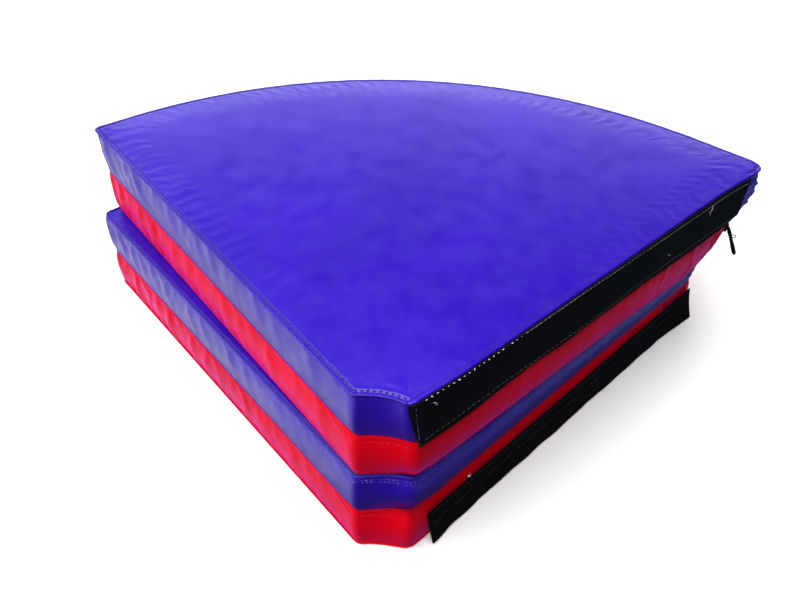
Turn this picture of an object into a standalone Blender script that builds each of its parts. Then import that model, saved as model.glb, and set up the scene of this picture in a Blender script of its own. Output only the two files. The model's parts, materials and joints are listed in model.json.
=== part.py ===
"""Folding crash mat: four quarter-circle pads that fold into a stack and open to a ring round a pole.

Frame: metres, +Z up, standing on z = 0, with the origin under the middle of the folded stack.
The pole line is the shared centre of the four quarters. In plan it lies on the -Y side of the
stack and the arcs lie on the +Y side. From the floor up, the pads are base, lower, upper and top.
Fold lines: base to lower on the left, lower to upper on the right, upper to top on the left.
"""

import math

import bmesh
import bpy
import numpy as np
from mathutils import Matrix, Vector

# The opened ring and one pad
mat_radius = 0.600            # pole line to the arc
panel_thickness = 0.0634      # through the flat middle of a pad
face_gap = 0.0022             # between two stacked pads, holds two layers of hinge fabric
quarter = math.radians(90)    # plan angle of one pad
fan_angle = math.radians(2.1)  # the lower pair lies turned about the pole line by this much

# The cut that leaves room for the pole
hole_leg_left = 0.046         # pole line to the cut, along the left edge
hole_leg_right = 0.040        # the same along the right edge
hole_rise = 0.0045            # how far the cut curves in behind its own chord

# Room between the walls of neighbours on the opened mat
fold_wall_inset = 0.0006      # a folding wall stands this far behind its quarter's edge
closure_spare = 0.0006        # the same for the outside of a closing strip
wall_corner_left = 0.012      # plan radius of the outer corner on the left
cut_corner = 0.007            # plan radius of the two corners beside the pole cut

# Cover
sheet = 0.0009                # coated fabric
fabric_gap = 0.0003           # between pieces that touch
face_crown = 0.0015           # a face falls by this much from its flat middle to the seam
crown_reach = 0.060           # width of that fall
lip_inset = 0.0005            # edge of a face sheet, behind the widest part of the wall
seam_tuck = 0.0020            # the side band is drawn in by this much at its two seams
crown_ring_shares = (1.0, 0.5, 0.18, 0.0)
band_level_shares = (1.0, 0.55, 0.0, -0.55, -1.0)
band_lining_shares = (-1.0, 0.0, 1.0)

# Zip along the arc
zip_height_share = 0.65       # of the pad's thickness, above the face that lies down when opened
tape_width = 0.024
tape_thickness = 0.0008
chain_width = 0.0070
chain_height = 0.0018
window_margin = 0.0045        # each side of the chain, open in the band
zip_end_skip = 3              # facets of the arc left plain at the left end
window_end_gap = 0.0004       # open in the band past each end of the chain
foam_side_gap = 0.0004        # foam behind the zip tape

# Slider and pull
slider_length = 0.020
slider_height = 0.0120
slider_shoulder_share = 0.125  # of the slider's length, over which it widens
slider_plate = 0.0022
slider_clearance = 0.00035
flange_depth = 0.0013         # how far the slider's side walls reach down beside the chain
flange_clearance = 0.0004
flange_wall = 0.0008
bail_radius = 0.0007
bail_span = 0.0074
bail_lift = 0.0023            # plate to the bail's centre line
bail_bend = 0.00105           # cut off each upper corner of the bail
knuckle_width = 0.0040
knuckle_wall = 0.0008
knuckle_clearance = 0.00025
pull_width = 0.0062
pull_thickness = 0.0014
pull_eye = 0.0017
pull_floor_gap = 0.0045       # under the base pad's pull when it hangs
park_gap = 0.0030             # from a parked slider to the end of its zip
corner_park = math.radians(40)   # the upper pad's slider, round its corner from the straight wall
corner_lean = math.radians(25)   # its pull stands off the wall by this much

# Hinge fabric and closing strips
leaf_thickness = 0.0007
leaf_width = 0.030
leaf_axis_gap = 0.00025
leaf_end_margin = 0.016
leaf_corner = 0.006
strip_thickness = 0.0016
hook_width = 0.058
hook_inner_end = 0.0425        # from the pole line
loop_width = 0.046
loop_drop = 0.0140            # from the pad's upper face to the loop strip
loop_inner_end = 0.064
strip_outer_end = 0.024       # from the arc
strip_corner = 0.003

# Facets
arc_facets = 22
corner_facets = 4
bend_facets = 8
edge_facets = 3
cut_facets = 4
round_facets = 12
cut_overrun = 0.002

purple = (0.100, 0.018, 0.560)
red = (0.560, 0.006, 0.050)

# A pad's zip starts at a facet of its right corner or of its arc, and its slider parks at one end.
# way is 1 where the face that is walked on looks up in the stack, -1 where it looks down.
panels = (
    dict(name="base", place=0, way=1, turn=fan_angle, closes=True, right_corner=0.028, color=red,
         zip_from="arc", zip_skip=1, parks="left", lean=0.0),
    dict(name="lower", place=1, way=-1, turn=fan_angle, closes=False, right_corner=0.040, color=purple,
         zip_from="arc", zip_skip=1, parks="right", lean=0.0),
    dict(name="upper", place=2, way=1, turn=0.0, closes=False, right_corner=0.050, color=red,
         zip_from="corner", zip_skip=2, parks="corner", lean=corner_lean),
    dict(name="top", place=3, way=-1, turn=0.0, closes=True, right_corner=0.022, color=purple,
         zip_from="arc", zip_skip=1, parks="left", lean=0.0),
)
pitch = panel_thickness + face_gap
half_quarter = quarter / 2
closure_wall_inset = closure_spare + strip_thickness + fabric_gap
zip_level = (zip_height_share - 0.5) * panel_thickness
pull_length = zip_height_share * panel_thickness - pull_floor_gap


def clear_scene():
    """Remove what the file holds before the mat is made."""
    for obj in list(bpy.data.objects):
        bpy.data.objects.remove(obj, do_unlink=True)


def material(name, color, roughness, metallic=0.0):
    """One finish with a plain colour."""
    mat = bpy.data.materials.get(name) or bpy.data.materials.new(name)
    mat.use_nodes = True
    shader = mat.node_tree.nodes["Principled BSDF"]
    shader.inputs["Base Color"].default_value = (*color, 1.0)
    shader.inputs["Roughness"].default_value = roughness
    shader.inputs["Metallic"].default_value = metallic
    mat.diffuse_color = (*color, 1.0)
    return mat


def finish(name, bm, mat, smooth_below=math.radians(40)):
    """Turn a bmesh into a named object whose faces point outwards."""
    bmesh.ops.recalc_face_normals(bm, faces=bm.faces[:])
    mesh = bpy.data.meshes.new(name)
    bm.to_mesh(mesh)
    bm.free()
    mesh.materials.append(mat)
    mesh.shade_smooth()
    mesh.set_sharp_from_angle(angle=smooth_below)
    obj = bpy.data.objects.new(name, mesh)
    bpy.context.scene.collection.objects.link(obj)
    return obj


def as_cutter(obj):
    """Keep an object out of the model: it only shapes another one."""
    obj.hide_render = True
    obj.display_type = "WIRE"
    return obj


def boolean(obj, tool, operation):
    """Join or cut obj by tool."""
    step = obj.modifiers.new(operation.lower() + "_" + tool.name, "BOOLEAN")
    step.operation = operation
    step.solver = "EXACT"
    step.object = as_cutter(tool)


# Plan outline of a pad

def edge_axes(side):
    """Unit vectors along a straight edge and inwards from it; side is -1 left, 1 right."""
    along = np.array([side * math.sin(half_quarter), math.cos(half_quarter)])
    inward = np.array([-side * math.cos(half_quarter), math.sin(half_quarter)])
    return along, inward


def arc_between(centre, start, end, count, turn):
    """Points on a circle from start to end, without the end; turn 1 goes counter-clockwise."""
    a = math.atan2(start[1] - centre[1], start[0] - centre[0])
    b = math.atan2(end[1] - centre[1], end[0] - centre[0])
    sweep = (b - a) % (2 * math.pi) if turn > 0 else -((a - b) % (2 * math.pi))
    radius = math.hypot(start[0] - centre[0], start[1] - centre[1])
    angles = a + sweep * np.arange(count) / count
    return np.stack([centre[0] + radius * np.cos(angles), centre[1] + radius * np.sin(angles)], 1)


def wall_inset(panel, side):
    """Straight wall to the quarter's edge line."""
    return closure_wall_inset if side > 0 and panel["closes"] else fold_wall_inset


def outer_corner(panel, side, inset):
    """Centre and radius of the rounding between a straight wall and the arc."""
    along, inward = edge_axes(side)
    full = panel["right_corner"] if side > 0 else wall_corner_left
    radius = max(full - inset, fabric_gap)
    depth = wall_inset(panel, side) + inset + radius
    reach = math.sqrt((mat_radius - inset - radius) ** 2 - depth ** 2)
    return along * reach + inward * depth, radius


def cut_circle(inset):
    """Centre and radius of the pole cut, which bows away from the pole line."""
    left, right = edge_axes(-1)[0] * hole_leg_left, edge_axes(1)[0] * hole_leg_right
    chord = right - left
    away = np.array([-chord[1], chord[0]]) / np.hypot(*chord)
    radius = ((chord @ chord) / 4 + hole_rise ** 2) / (2 * hole_rise)
    return (left + right) / 2 + away * (hole_rise - radius), radius + inset


def inner_corner(panel, side, inset):
    """Centre and radius of the rounding between a straight wall and the pole cut."""
    along, inward = edge_axes(side)
    centre, cut_radius = cut_circle(inset)
    radius = max(cut_corner - inset, fabric_gap)
    depth = wall_inset(panel, side) + inset + radius
    reach = centre @ along + math.sqrt((cut_radius + radius) ** 2 - (depth - centre @ inward) ** 2)
    return along * reach + inward * depth, radius


def outline(panel, inset):
    """The pad's outline drawn in by inset, counter-clockwise, and where its stretches start.

    The order is right wall, right corner, arc, left corner, left wall, and the cut with its corners.
    Every inset gives the same number of points, so that rings of unlike inset can be joined.
    """
    _, right_in = edge_axes(1)
    _, left_in = edge_axes(-1)
    cut_centre, cut_radius = cut_circle(inset)
    far_right, far_right_r = outer_corner(panel, 1, inset)
    far_left, far_left_r = outer_corner(panel, -1, inset)
    near_right, near_right_r = inner_corner(panel, 1, inset)
    near_left, near_left_r = inner_corner(panel, -1, inset)

    wall_in = near_right - right_in * near_right_r
    wall_out = far_right - right_in * far_right_r
    arc_right = far_right * (mat_radius - inset) / (mat_radius - inset - far_right_r)
    arc_left = far_left * (mat_radius - inset) / (mat_radius - inset - far_left_r)
    left_out = far_left - left_in * far_left_r
    left_in_end = near_left - left_in * near_left_r
    to_cut = cut_radius / (cut_radius + near_left_r)
    cut_left = cut_centre + (near_left - cut_centre) * to_cut
    cut_right = cut_centre + (near_right - cut_centre) * to_cut

    steps = np.arange(edge_facets)[:, None] / edge_facets
    stretches = {
        "wall": wall_in + (wall_out - wall_in) * steps,
        "corner": arc_between(far_right, wall_out, arc_right, bend_facets, 1),
        "arc": arc_between(np.zeros(2), arc_right, arc_left, arc_facets, 1),
        "left_corner": arc_between(far_left, arc_left, left_out, corner_facets, 1),
        "left_wall": left_out + (left_in_end - left_out) * steps,
        "near_left": arc_between(near_left, left_in_end, cut_left, corner_facets // 2, 1),
        "cut": arc_between(cut_centre, cut_left, cut_right, cut_facets, -1),
        "near_right": arc_between(near_right, cut_right, wall_in, corner_facets // 2, 1),
    }
    starts = dict(zip(stretches, np.cumsum([0] + [len(s) for s in stretches.values()])))
    return np.concatenate(list(stretches.values())), starts


def ring_solid(name, panel, rings, mat, closed=False):
    """Join rings of (inset, z) round the outline; a chain of rings is capped at both ends."""
    bm = bmesh.new()
    loops = []
    for inset, z in rings:
        points, _ = outline(panel, inset)
        loops.append([bm.verts.new((x, y, z)) for x, y in points])
    pairs = list(zip(loops, loops[1:]))
    if closed:
        pairs.append((loops[-1], loops[0]))
    for one, other in pairs:
        for i in range(len(one)):
            j = (i + 1) % len(one)
            bm.faces.new((one[i], other[i], other[j], one[j]))
    if not closed:
        bm.faces.new(loops[0])
        bm.faces.new(list(reversed(loops[-1])))
    return finish(name, bm, mat)


def zip_stretch(panel, inset, spare=0.0):
    """The outline's points along the zip, lengthened by spare at both ends."""
    points, starts = outline(panel, inset)
    first = starts[panel["zip_from"]] + panel["zip_skip"]
    stretch = points[first:starts["left_corner"] - zip_end_skip].copy()
    for end, inner in ((0, 1), (-1, -2)):
        step = stretch[end] - stretch[inner]
        stretch[end] += step / np.hypot(*step) * spare
    return stretch


def ribbon_solid(name, panel, section, mat, spare=0.0):
    """Sweep a closed section of (inset, z) along the zip's stretch of the outline."""
    bm = bmesh.new()
    stations = []
    for inset, z in section:
        stretch = zip_stretch(panel, inset, spare)
        stations.append([bm.verts.new((x, y, z)) for x, y in stretch])
    count = len(section)
    for k in range(count):
        one, other = stations[k], stations[(k + 1) % count]
        for i in range(len(one) - 1):
            bm.faces.new((one[i], other[i], other[i + 1], one[i + 1]))
    bm.faces.new([line[0] for line in stations])
    bm.faces.new([line[-1] for line in reversed(stations)])
    return finish(name, bm, mat)


def rounded_rectangle(low, high, radius):
    """Corner-rounded rectangle between two (x, y) corners, counter-clockwise."""
    points = []
    corners = ((high[0], low[1], -90), (high[0], high[1], 0), (low[0], high[1], 90), (low[0], low[1], 180))
    for x, y, start in corners:
        cx = x - math.copysign(radius, x - (low[0] + high[0]) / 2)
        cy = y - math.copysign(radius, y - (low[1] + high[1]) / 2)
        for step in range(corner_facets):
            angle = math.radians(start + 90 * step / (corner_facets - 1))
            points.append((cx + radius * math.cos(angle), cy + radius * math.sin(angle)))
    return points


def plate(name, points, low, high, axes, mat):
    """Extrude a flat outline from low to high; axes are the world directions of x, y and height."""
    bm = bmesh.new()
    face = bm.faces.new([bm.verts.new((x, y, low)) for x, y in points])
    grown = bmesh.ops.extrude_face_region(bm, geom=[face])
    moved = [v for v in grown["geom"] if isinstance(v, bmesh.types.BMVert)]
    bmesh.ops.translate(bm, vec=(0, 0, high - low), verts=moved)
    frame = Matrix(axes).transposed().to_4x4()
    bmesh.ops.transform(bm, matrix=frame, verts=bm.verts[:])
    return finish(name, bm, mat)


# Pieces of one pad, in its own frame: the pole line at x = y = 0 and mid thickness at z = 0

def face_height(inset):
    """Half thickness of the pad at a distance from its wall: the face falls towards the seam."""
    fall = 1.0 - min(inset / crown_reach, 1.0)
    return panel_thickness / 2 - face_crown * fall ** 2


crown_insets = [lip_inset + share * (crown_reach - lip_inset) for share in crown_ring_shares]
band_half = face_height(seam_tuck) - sheet - fabric_gap
tape_low = zip_level - tape_width / 2
tape_high = zip_level + tape_width / 2
tape_inset = seam_tuck * tape_high / band_half + sheet + fabric_gap
foam_inset = tape_inset + tape_thickness + foam_side_gap
chain_inset = tape_inset - fabric_gap - chain_height


def face_sheet(panel, side, mat):
    """Crowned cover sheet of one face; its edge stands over the side band as a sewn lip."""
    outside = [(inset, side * face_height(inset)) for inset in crown_insets]
    inside = [(inset, side * (face_height(inset) - sheet)) for inset in reversed(crown_insets)]
    name = panel["name"] + ("_face_sheet" if side > 0 else "_back_sheet")
    return ring_solid(name, panel, outside + inside, mat)


def side_band(panel, mat):
    """Side wall of the cover, bowed out between its seams, with a window for the zip."""
    outside = [(seam_tuck * s ** 2, s * band_half) for s in band_level_shares]
    inside = [(seam_tuck * s ** 2 + sheet, s * band_half) for s in band_lining_shares]
    band = ring_solid(panel["name"] + "_side_band", panel, outside + inside, mat, closed=True)
    middle = panel["way"] * zip_level
    reach = chain_width / 2 + window_margin
    section = [(-cut_overrun, middle - reach), (-cut_overrun, middle + reach),
               (tape_inset, middle + reach), (tape_inset, middle - reach)]
    window = ribbon_solid(panel["name"] + "_zip_window", panel, section, mat, window_end_gap)
    boolean(band, window, "DIFFERENCE")
    return band


def foam_core(panel, mat):
    """Foam wedge that fills the cover."""
    depth = sheet + fabric_gap
    insets = [inset for inset in crown_insets if inset > foam_inset] + [foam_inset]
    upper = [(inset, face_height(inset) - depth) for inset in insets]
    rings = upper + [(inset, -z) for inset, z in reversed(upper)]
    return ring_solid(panel["name"] + "_foam_core", panel, rings, mat)


def zip_tape(panel, mat):
    """Woven tape behind the window."""
    low, high = sorted((panel["way"] * tape_low, panel["way"] * tape_high))
    section = [(tape_inset, low), (tape_inset, high),
               (tape_inset + tape_thickness, high), (tape_inset + tape_thickness, low)]
    return ribbon_solid(panel["name"] + "_zip_tape", panel, section, mat)


def zip_chain(panel, mat):
    """Closed row of teeth as one rib with chamfered shoulders."""
    middle = panel["way"] * zip_level
    half = chain_width / 2
    shoulder = chain_height / 2
    root = tape_inset - fabric_gap
    section = [(root, middle - half), (chain_inset + shoulder, middle - half),
               (chain_inset, middle - half + shoulder), (chain_inset, middle + half - shoulder),
               (chain_inset + shoulder, middle + half), (root, middle + half)]
    return ribbon_solid(panel["name"] + "_zip_chain", panel, section, mat)


def slider_station(panel):
    """Wall point and outward direction of a parked slider, the centre it runs round, and its travel."""
    ends = zip_stretch(panel, 0.0)[[0, -1]]
    if panel["parks"] == "corner":
        centre, radius = outer_corner(panel, 1, 0.0)
        _, inward = edge_axes(1)
        angle = math.atan2(-inward[1], -inward[0]) + corner_park
        travel = (0.0, math.atan2(centre[1], centre[0]) - angle)
    else:
        centre, radius = np.zeros(2), mat_radius
        margin = (slider_length / 2 + park_gap) / radius
        right = math.atan2(ends[0][1], ends[0][0]) + margin
        left = math.atan2(ends[1][1], ends[1][0]) - margin
        angle = left if panel["parks"] == "left" else right
        travel = (right - angle, left - angle)
    outward = np.array([math.cos(angle), math.sin(angle)])
    return centre + radius * outward, outward, centre, travel


def to_station(panel, obj):
    """Put a piece made at x = run, y = out of the wall, z = up onto its place on the wall."""
    point, outward, _, _ = slider_station(panel)
    out = Vector((*outward, 0.0))
    up = Vector((0, 0, 1))
    run = out.cross(up)
    frame = Matrix((run, out, up)).transposed().to_4x4()
    frame.translation = Vector((*point, panel["way"] * zip_level))
    obj.data.transform(frame)
    return obj


def tube(name, points, radius, mat):
    """Round bar along points in the plane z = 0."""
    bm = bmesh.new()
    path = [Vector((x, y, 0)) for x, y in points]
    rings = []
    for k, point in enumerate(path):
        ahead = path[min(k + 1, len(path) - 1)] - point
        behind = point - path[max(k - 1, 0)]
        tangent = (ahead.normalized() + behind.normalized()).normalized()
        side = tangent.cross(Vector((0, 0, 1)))
        ring = []
        for i in range(round_facets):
            angle = 2 * math.pi * i / round_facets
            offset = side * math.cos(angle) + Vector((0, 0, 1)) * math.sin(angle)
            ring.append(bm.verts.new(point + offset * radius))
        rings.append(ring)
    for one, other in zip(rings, rings[1:]):
        for i in range(round_facets):
            j = (i + 1) % round_facets
            bm.faces.new((one[i], one[j], other[j], other[i]))
    bm.faces.new(rings[0])
    bm.faces.new(rings[-1])
    return finish(name, bm, mat)


plate_low = -chain_inset + slider_clearance      # distances out of the wall line
plate_high = plate_low + slider_plate
bail_height = plate_high + bail_lift
to_running_plane = ((1, 0, 0), (0, 0, 1), (0, 1, 0))   # a plate drawn in run and up, grown outwards


def zip_slider(panel, mat):
    """Slider: a tapered plate with side walls beside the chain and a bail for the pull."""
    nose = slider_height / 2
    inner = chain_width / 2 + flange_clearance
    tail = inner + flange_wall
    end = slider_length / 2
    waist = slider_length * slider_shoulder_share
    shape = [(-end, -tail), (-waist, -tail), (waist, -nose), (end - waist, -nose), (end, -tail),
             (end, tail), (end - waist, nose), (waist, nose), (-waist, tail), (-end, tail)]
    low = plate_low - slider_clearance - flange_depth
    body = plate(panel["name"] + "_zip_slider", shape, low, plate_high, to_running_plane, mat)
    groove_shape = [(-end - cut_overrun, -inner), (end + cut_overrun, -inner),
                    (end + cut_overrun, inner), (-end - cut_overrun, inner)]
    groove = plate(panel["name"] + "_slider_groove", groove_shape, low - cut_overrun, plate_low,
                   to_running_plane, mat)
    foot = plate_high - bail_radius
    half = bail_span / 2
    arch = [(-half, foot), (-half, bail_height - bail_bend), (-half + bail_bend, bail_height),
            (half - bail_bend, bail_height), (half, bail_height - bail_bend), (half, foot)]
    bail = tube(panel["name"] + "_slider_bail", arch, bail_radius, mat)
    boolean(body, groove, "DIFFERENCE")
    boolean(body, bail, "UNION")
    for piece in (body, groove, bail):
        to_station(panel, piece)
    return body


def zip_pull(panel, mat):
    """Pull tab with a knuckle that turns on the slider's bail; it hangs down."""
    name = panel["name"] + "_zip_pull"
    bore = bail_radius + knuckle_clearance
    outer = bore + knuckle_wall
    neck = knuckle_width / 2 - knuckle_clearance
    half = pull_width / 2
    top = -(bore + outer) / 2
    shape = [(neck, top), (neck, top - outer), (half, top - outer - half)]
    for step in range(corner_facets * 2 + 1):
        angle = -math.pi * step / (corner_facets * 2)
        shape.append((half * math.cos(angle), -pull_length + half + half * math.sin(angle)))
    shape += [(-half, top - outer - half), (-neck, top - outer), (-neck, top)]
    face = bail_height - pull_thickness / 2
    tab = plate(name, shape, face, face + pull_thickness, to_running_plane, mat)

    def roller(label, radius, length):
        bm = bmesh.new()
        turn = Matrix.Translation((0, bail_height, 0)) @ Matrix.Rotation(math.pi / 2, 4, "Y")
        bmesh.ops.create_cone(bm, cap_ends=True, segments=round_facets, radius1=radius, radius2=radius,
                              depth=length, matrix=turn)
        return finish(panel["name"] + label, bm, mat)

    knuckle = roller("_pull_knuckle", outer, knuckle_width)
    pin_hole = roller("_pull_bore", bore, knuckle_width + cut_overrun)
    ring = [(pull_eye * math.cos(2 * math.pi * i / round_facets),
             -pull_length + half + pull_eye * math.sin(2 * math.pi * i / round_facets))
            for i in range(round_facets)]
    eye = plate(panel["name"] + "_pull_eye", ring, face - cut_overrun, face + pull_thickness + cut_overrun,
                to_running_plane, mat)
    boolean(tab, knuckle, "UNION")
    boolean(tab, pin_hole, "DIFFERENCE")
    boolean(tab, eye, "DIFFERENCE")
    pivot = Matrix.Translation((0, bail_height, 0))
    lean = pivot @ Matrix.Rotation(panel["lean"], 4, "X") @ pivot.inverted()
    for piece in (tab, knuckle, pin_hole, eye):
        piece.data.transform(lean)
        to_station(panel, piece)
    return tab


def closing_strip(name, inner_end, width, top, mat):
    """Flat strip on the right wall, held by its back to the widest part of the band."""
    along, inward = edge_axes(1)
    axes = ((*along, 0), (0, 0, 1), (*(-inward), 0))
    low = (inner_end, top - width)
    high = (mat_radius - strip_outer_end, top)
    back = -closure_wall_inset + fabric_gap
    points = rounded_rectangle(low, high, strip_corner)
    return plate(name, points, back, back + strip_thickness, axes, mat)


# The stack: pads stand on each other, and each fold line is the parent of what it carries

def pad_frame(panel):
    """Pad frame in the mat's frame, before the origin is moved under the stack."""
    height = panel["place"] * pitch + panel_thickness / 2
    return Matrix.Translation((0, 0, height)) @ Matrix.Rotation(panel["turn"], 4, "Z")


def hinge_leaf(name, line, above, mat):
    """Layer of hinge fabric in the face gap, beside the fold line; above is 1 over the gap's middle."""
    turn, height, side = line
    along, inward = edge_axes(side)
    low = ((hole_leg_left if side < 0 else hole_leg_right) + leaf_end_margin, leaf_axis_gap)
    high = (mat_radius - leaf_end_margin, leaf_width)
    near = above * fabric_gap / 2
    far = above * (fabric_gap / 2 + leaf_thickness)
    axes = ((*along, 0), (*inward, 0), (0, 0, 1))
    points = rounded_rectangle(low, high, leaf_corner)
    leaf = plate(name, points, min(near, far), max(near, far), axes, mat)
    leaf.data.transform(Matrix.Translation((0, 0, height)) @ Matrix.Rotation(turn, 4, "Z"))
    return leaf


def empty(name, location, parent):
    """Named point that carries pieces; its place is in the mat's frame."""
    obj = bpy.data.objects.new(name, None)
    obj.empty_display_size = mat_radius / 10
    bpy.context.scene.collection.objects.link(obj)
    attach(obj, parent, Matrix.Translation(location))
    return obj


world_of = {}


def attach(obj, parent, place):
    """Parent obj and give it a place in the mat's frame."""
    world_of[obj.name] = place
    obj.parent = parent
    above = world_of[parent.name] if parent else Matrix.Identity(4)
    obj.matrix_basis = above.inverted() @ place


def cover_material(panel):
    return material(panel["name"] + "_cover", panel["color"], 0.38)


def build_pad(panel, carrier, mats):
    """Make one pad's pieces and hang them on its carrier; returns its two small joints."""
    cover = cover_material(panel)
    pieces = [
        foam_core(panel, mats["foam"]),
        face_sheet(panel, 1, cover),
        face_sheet(panel, -1, cover),
        side_band(panel, cover),
        zip_tape(panel, mats["tape"]),
        zip_chain(panel, mats["chain"]),
    ]
    frame = pad_frame(panel)
    for piece in pieces:
        attach(piece, carrier, frame)

    point, outward, centre, travel = slider_station(panel)
    run_axis = frame @ Vector((*centre, panel["way"] * zip_level))
    bail = Vector((*(point + outward * bail_height), panel["way"] * zip_level))
    swing_axis = frame @ bail
    runner = empty(panel["name"] + "_zip_run", run_axis, carrier)
    swing = empty(panel["name"] + "_pull_swing", swing_axis, runner)
    attach(zip_slider(panel, mats["metal"]), runner, frame)
    attach(zip_pull(panel, mats["metal"]), swing, frame)
    for label in ("_zip_window", "_slider_groove", "_slider_bail",
                  "_pull_knuckle", "_pull_bore", "_pull_eye"):
        tool = bpy.data.objects[panel["name"] + label]
        attach(tool, carrier, frame)
    turned = frame.to_3x3() @ Vector((*outward, 0)).cross(Vector((0, 0, 1)))
    return {
        panel["name"] + "_zip_run": (run_axis, Vector((0, 0, 1)), travel),
        panel["name"] + "_pull_swing": (swing_axis, turned, (-panel["lean"], math.pi - panel["lean"])),
    }


def centre_on_floor(root):
    """Move the whole stack so that the middle of its bounding box stands over the origin."""
    bpy.context.view_layer.update()
    graph = bpy.context.evaluated_depsgraph_get()
    points = []
    for obj in bpy.data.objects:
        if obj.type == "MESH" and not obj.hide_render:
            mesh = obj.evaluated_get(graph).data
            flat = np.empty(len(mesh.vertices) * 3, np.float32)
            mesh.vertices.foreach_get("co", flat)
            world = np.array(obj.matrix_world)
            points.append(flat.reshape(-1, 3) @ world[:3, :3].T + world[:3, 3])
    points = np.concatenate(points)
    low, high = points.min(0), points.max(0)
    root.location = (-(low[0] + high[0]) / 2, -(low[1] + high[1]) / 2, -low[2])
    bpy.context.view_layer.update()
    return high - low


def main():
    clear_scene()
    mats = {
        "foam": material("foam", (0.80, 0.78, 0.70), 0.95),
        "tape": material("zip_tape", (0.012, 0.012, 0.015), 0.85),
        "chain": material("zip_chain", (0.015, 0.015, 0.018), 0.45),
        "metal": material("blacked_metal", (0.020, 0.020, 0.022), 0.35, 1.0),
        "hook": material("hook_strip", (0.008, 0.010, 0.011), 0.92),
        "loop": material("loop_strip", (0.009, 0.011, 0.012), 0.97),
    }
    root = bpy.data.objects.new("pole_foot", None)
    bpy.context.scene.collection.objects.link(root)
    world_of[root.name] = Matrix.Identity(4)

    # Fold lines: turn about the pole line, height, and the side of the stack
    lines = {
        "fold_lower": (fan_angle, pitch - face_gap / 2, -1),
        "fold_middle": (fan_angle / 2, 2 * pitch - face_gap / 2, 1),
        "fold_upper": (0.0, 3 * pitch - face_gap / 2, -1),
    }
    carriers = [root]
    for label, (turn, height, side) in lines.items():
        carriers.append(empty(label, (0, 0, height), carriers[-1]))

    joints = {}
    for panel, carrier in zip(panels, carriers):
        joints.update(build_pad(panel, carrier, mats))

    below, over = carriers[:-1], carriers[1:]
    for (label, line), low_carrier, high_carrier, low_pad, high_pad in zip(
            lines.items(), below, over, panels, panels[1:]):
        under = hinge_leaf(label + "_leaf_below", line, -1, cover_material(low_pad))
        above = hinge_leaf(label + "_leaf_above", line, 1, cover_material(high_pad))
        attach(under, low_carrier, Matrix.Identity(4))
        attach(above, high_carrier, Matrix.Identity(4))
        along, _ = edge_axes(line[2])
        axis = Matrix.Rotation(line[0], 3, "Z") @ Vector((*along, 0)) * line[2]
        joints[label] = (Vector((0, 0, line[1])), axis, (0.0, math.pi))

    base, top = panels[0], panels[-1]
    hook = closing_strip("top_hook_strip", hook_inner_end, hook_width, hook_width / 2, mats["hook"])
    loop_top = panel_thickness / 2 - loop_drop
    loop = closing_strip("base_loop_strip", loop_inner_end, loop_width, loop_top, mats["loop"])
    attach(hook, carriers[-1], pad_frame(top))
    attach(loop, carriers[0], pad_frame(base))

    size = centre_on_floor(root)
    print("size", [round(float(v), 4) for v in size], "pole line at", [round(v, 5) for v in root.location])
    for name, (place, axis, travel) in joints.items():
        point = [round(v, 6) for v in root.location + place]
        way = [round(v, 6) for v in axis]
        print("joint", name, point, "axis", way, "room", [round(math.degrees(a), 1) for a in travel])


main()
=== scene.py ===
import json
import math

import bpy
import numpy as np
from mathutils import Matrix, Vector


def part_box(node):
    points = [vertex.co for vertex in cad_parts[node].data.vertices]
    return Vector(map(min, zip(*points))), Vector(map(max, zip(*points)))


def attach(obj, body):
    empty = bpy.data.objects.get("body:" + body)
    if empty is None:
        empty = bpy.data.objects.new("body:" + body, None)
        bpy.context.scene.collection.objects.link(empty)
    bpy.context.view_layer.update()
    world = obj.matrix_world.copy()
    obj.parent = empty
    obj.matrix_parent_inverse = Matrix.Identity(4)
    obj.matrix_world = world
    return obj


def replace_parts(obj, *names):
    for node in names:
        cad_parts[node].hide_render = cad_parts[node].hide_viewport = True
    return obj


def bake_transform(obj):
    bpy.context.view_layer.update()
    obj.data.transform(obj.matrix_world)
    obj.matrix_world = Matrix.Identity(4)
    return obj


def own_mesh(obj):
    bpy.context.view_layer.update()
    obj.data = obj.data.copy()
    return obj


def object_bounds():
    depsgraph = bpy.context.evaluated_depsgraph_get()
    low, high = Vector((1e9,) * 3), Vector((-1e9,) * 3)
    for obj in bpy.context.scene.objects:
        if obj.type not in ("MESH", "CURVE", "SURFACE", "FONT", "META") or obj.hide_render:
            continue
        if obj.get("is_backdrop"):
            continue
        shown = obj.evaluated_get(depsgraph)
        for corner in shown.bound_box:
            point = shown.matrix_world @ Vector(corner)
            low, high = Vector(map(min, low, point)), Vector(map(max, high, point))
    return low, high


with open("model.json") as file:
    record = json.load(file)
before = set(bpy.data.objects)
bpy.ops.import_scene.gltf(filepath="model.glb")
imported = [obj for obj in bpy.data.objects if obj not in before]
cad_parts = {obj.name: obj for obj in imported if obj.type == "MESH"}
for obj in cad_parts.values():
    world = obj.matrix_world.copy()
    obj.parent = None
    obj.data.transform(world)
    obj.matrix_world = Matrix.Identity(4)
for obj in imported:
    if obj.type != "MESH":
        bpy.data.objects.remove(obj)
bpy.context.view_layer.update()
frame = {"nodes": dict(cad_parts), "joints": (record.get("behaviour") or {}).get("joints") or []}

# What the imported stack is, metres. Plan sizes are measured from the pole line.
stack = {
    "matRadius": 0.600,
    "holeLegLeft": 0.046,
    "holeLegRight": 0.040,
    "holeRise": 0.0045,
    "foldInset": 0.0006,
    "closureInset": 0.0025,
    "leftCorner": 0.012,
    "cutCorner": 0.014,
    "leastCorner": 0.0003,
    "fanAngle": math.radians(2.1),
}
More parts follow.
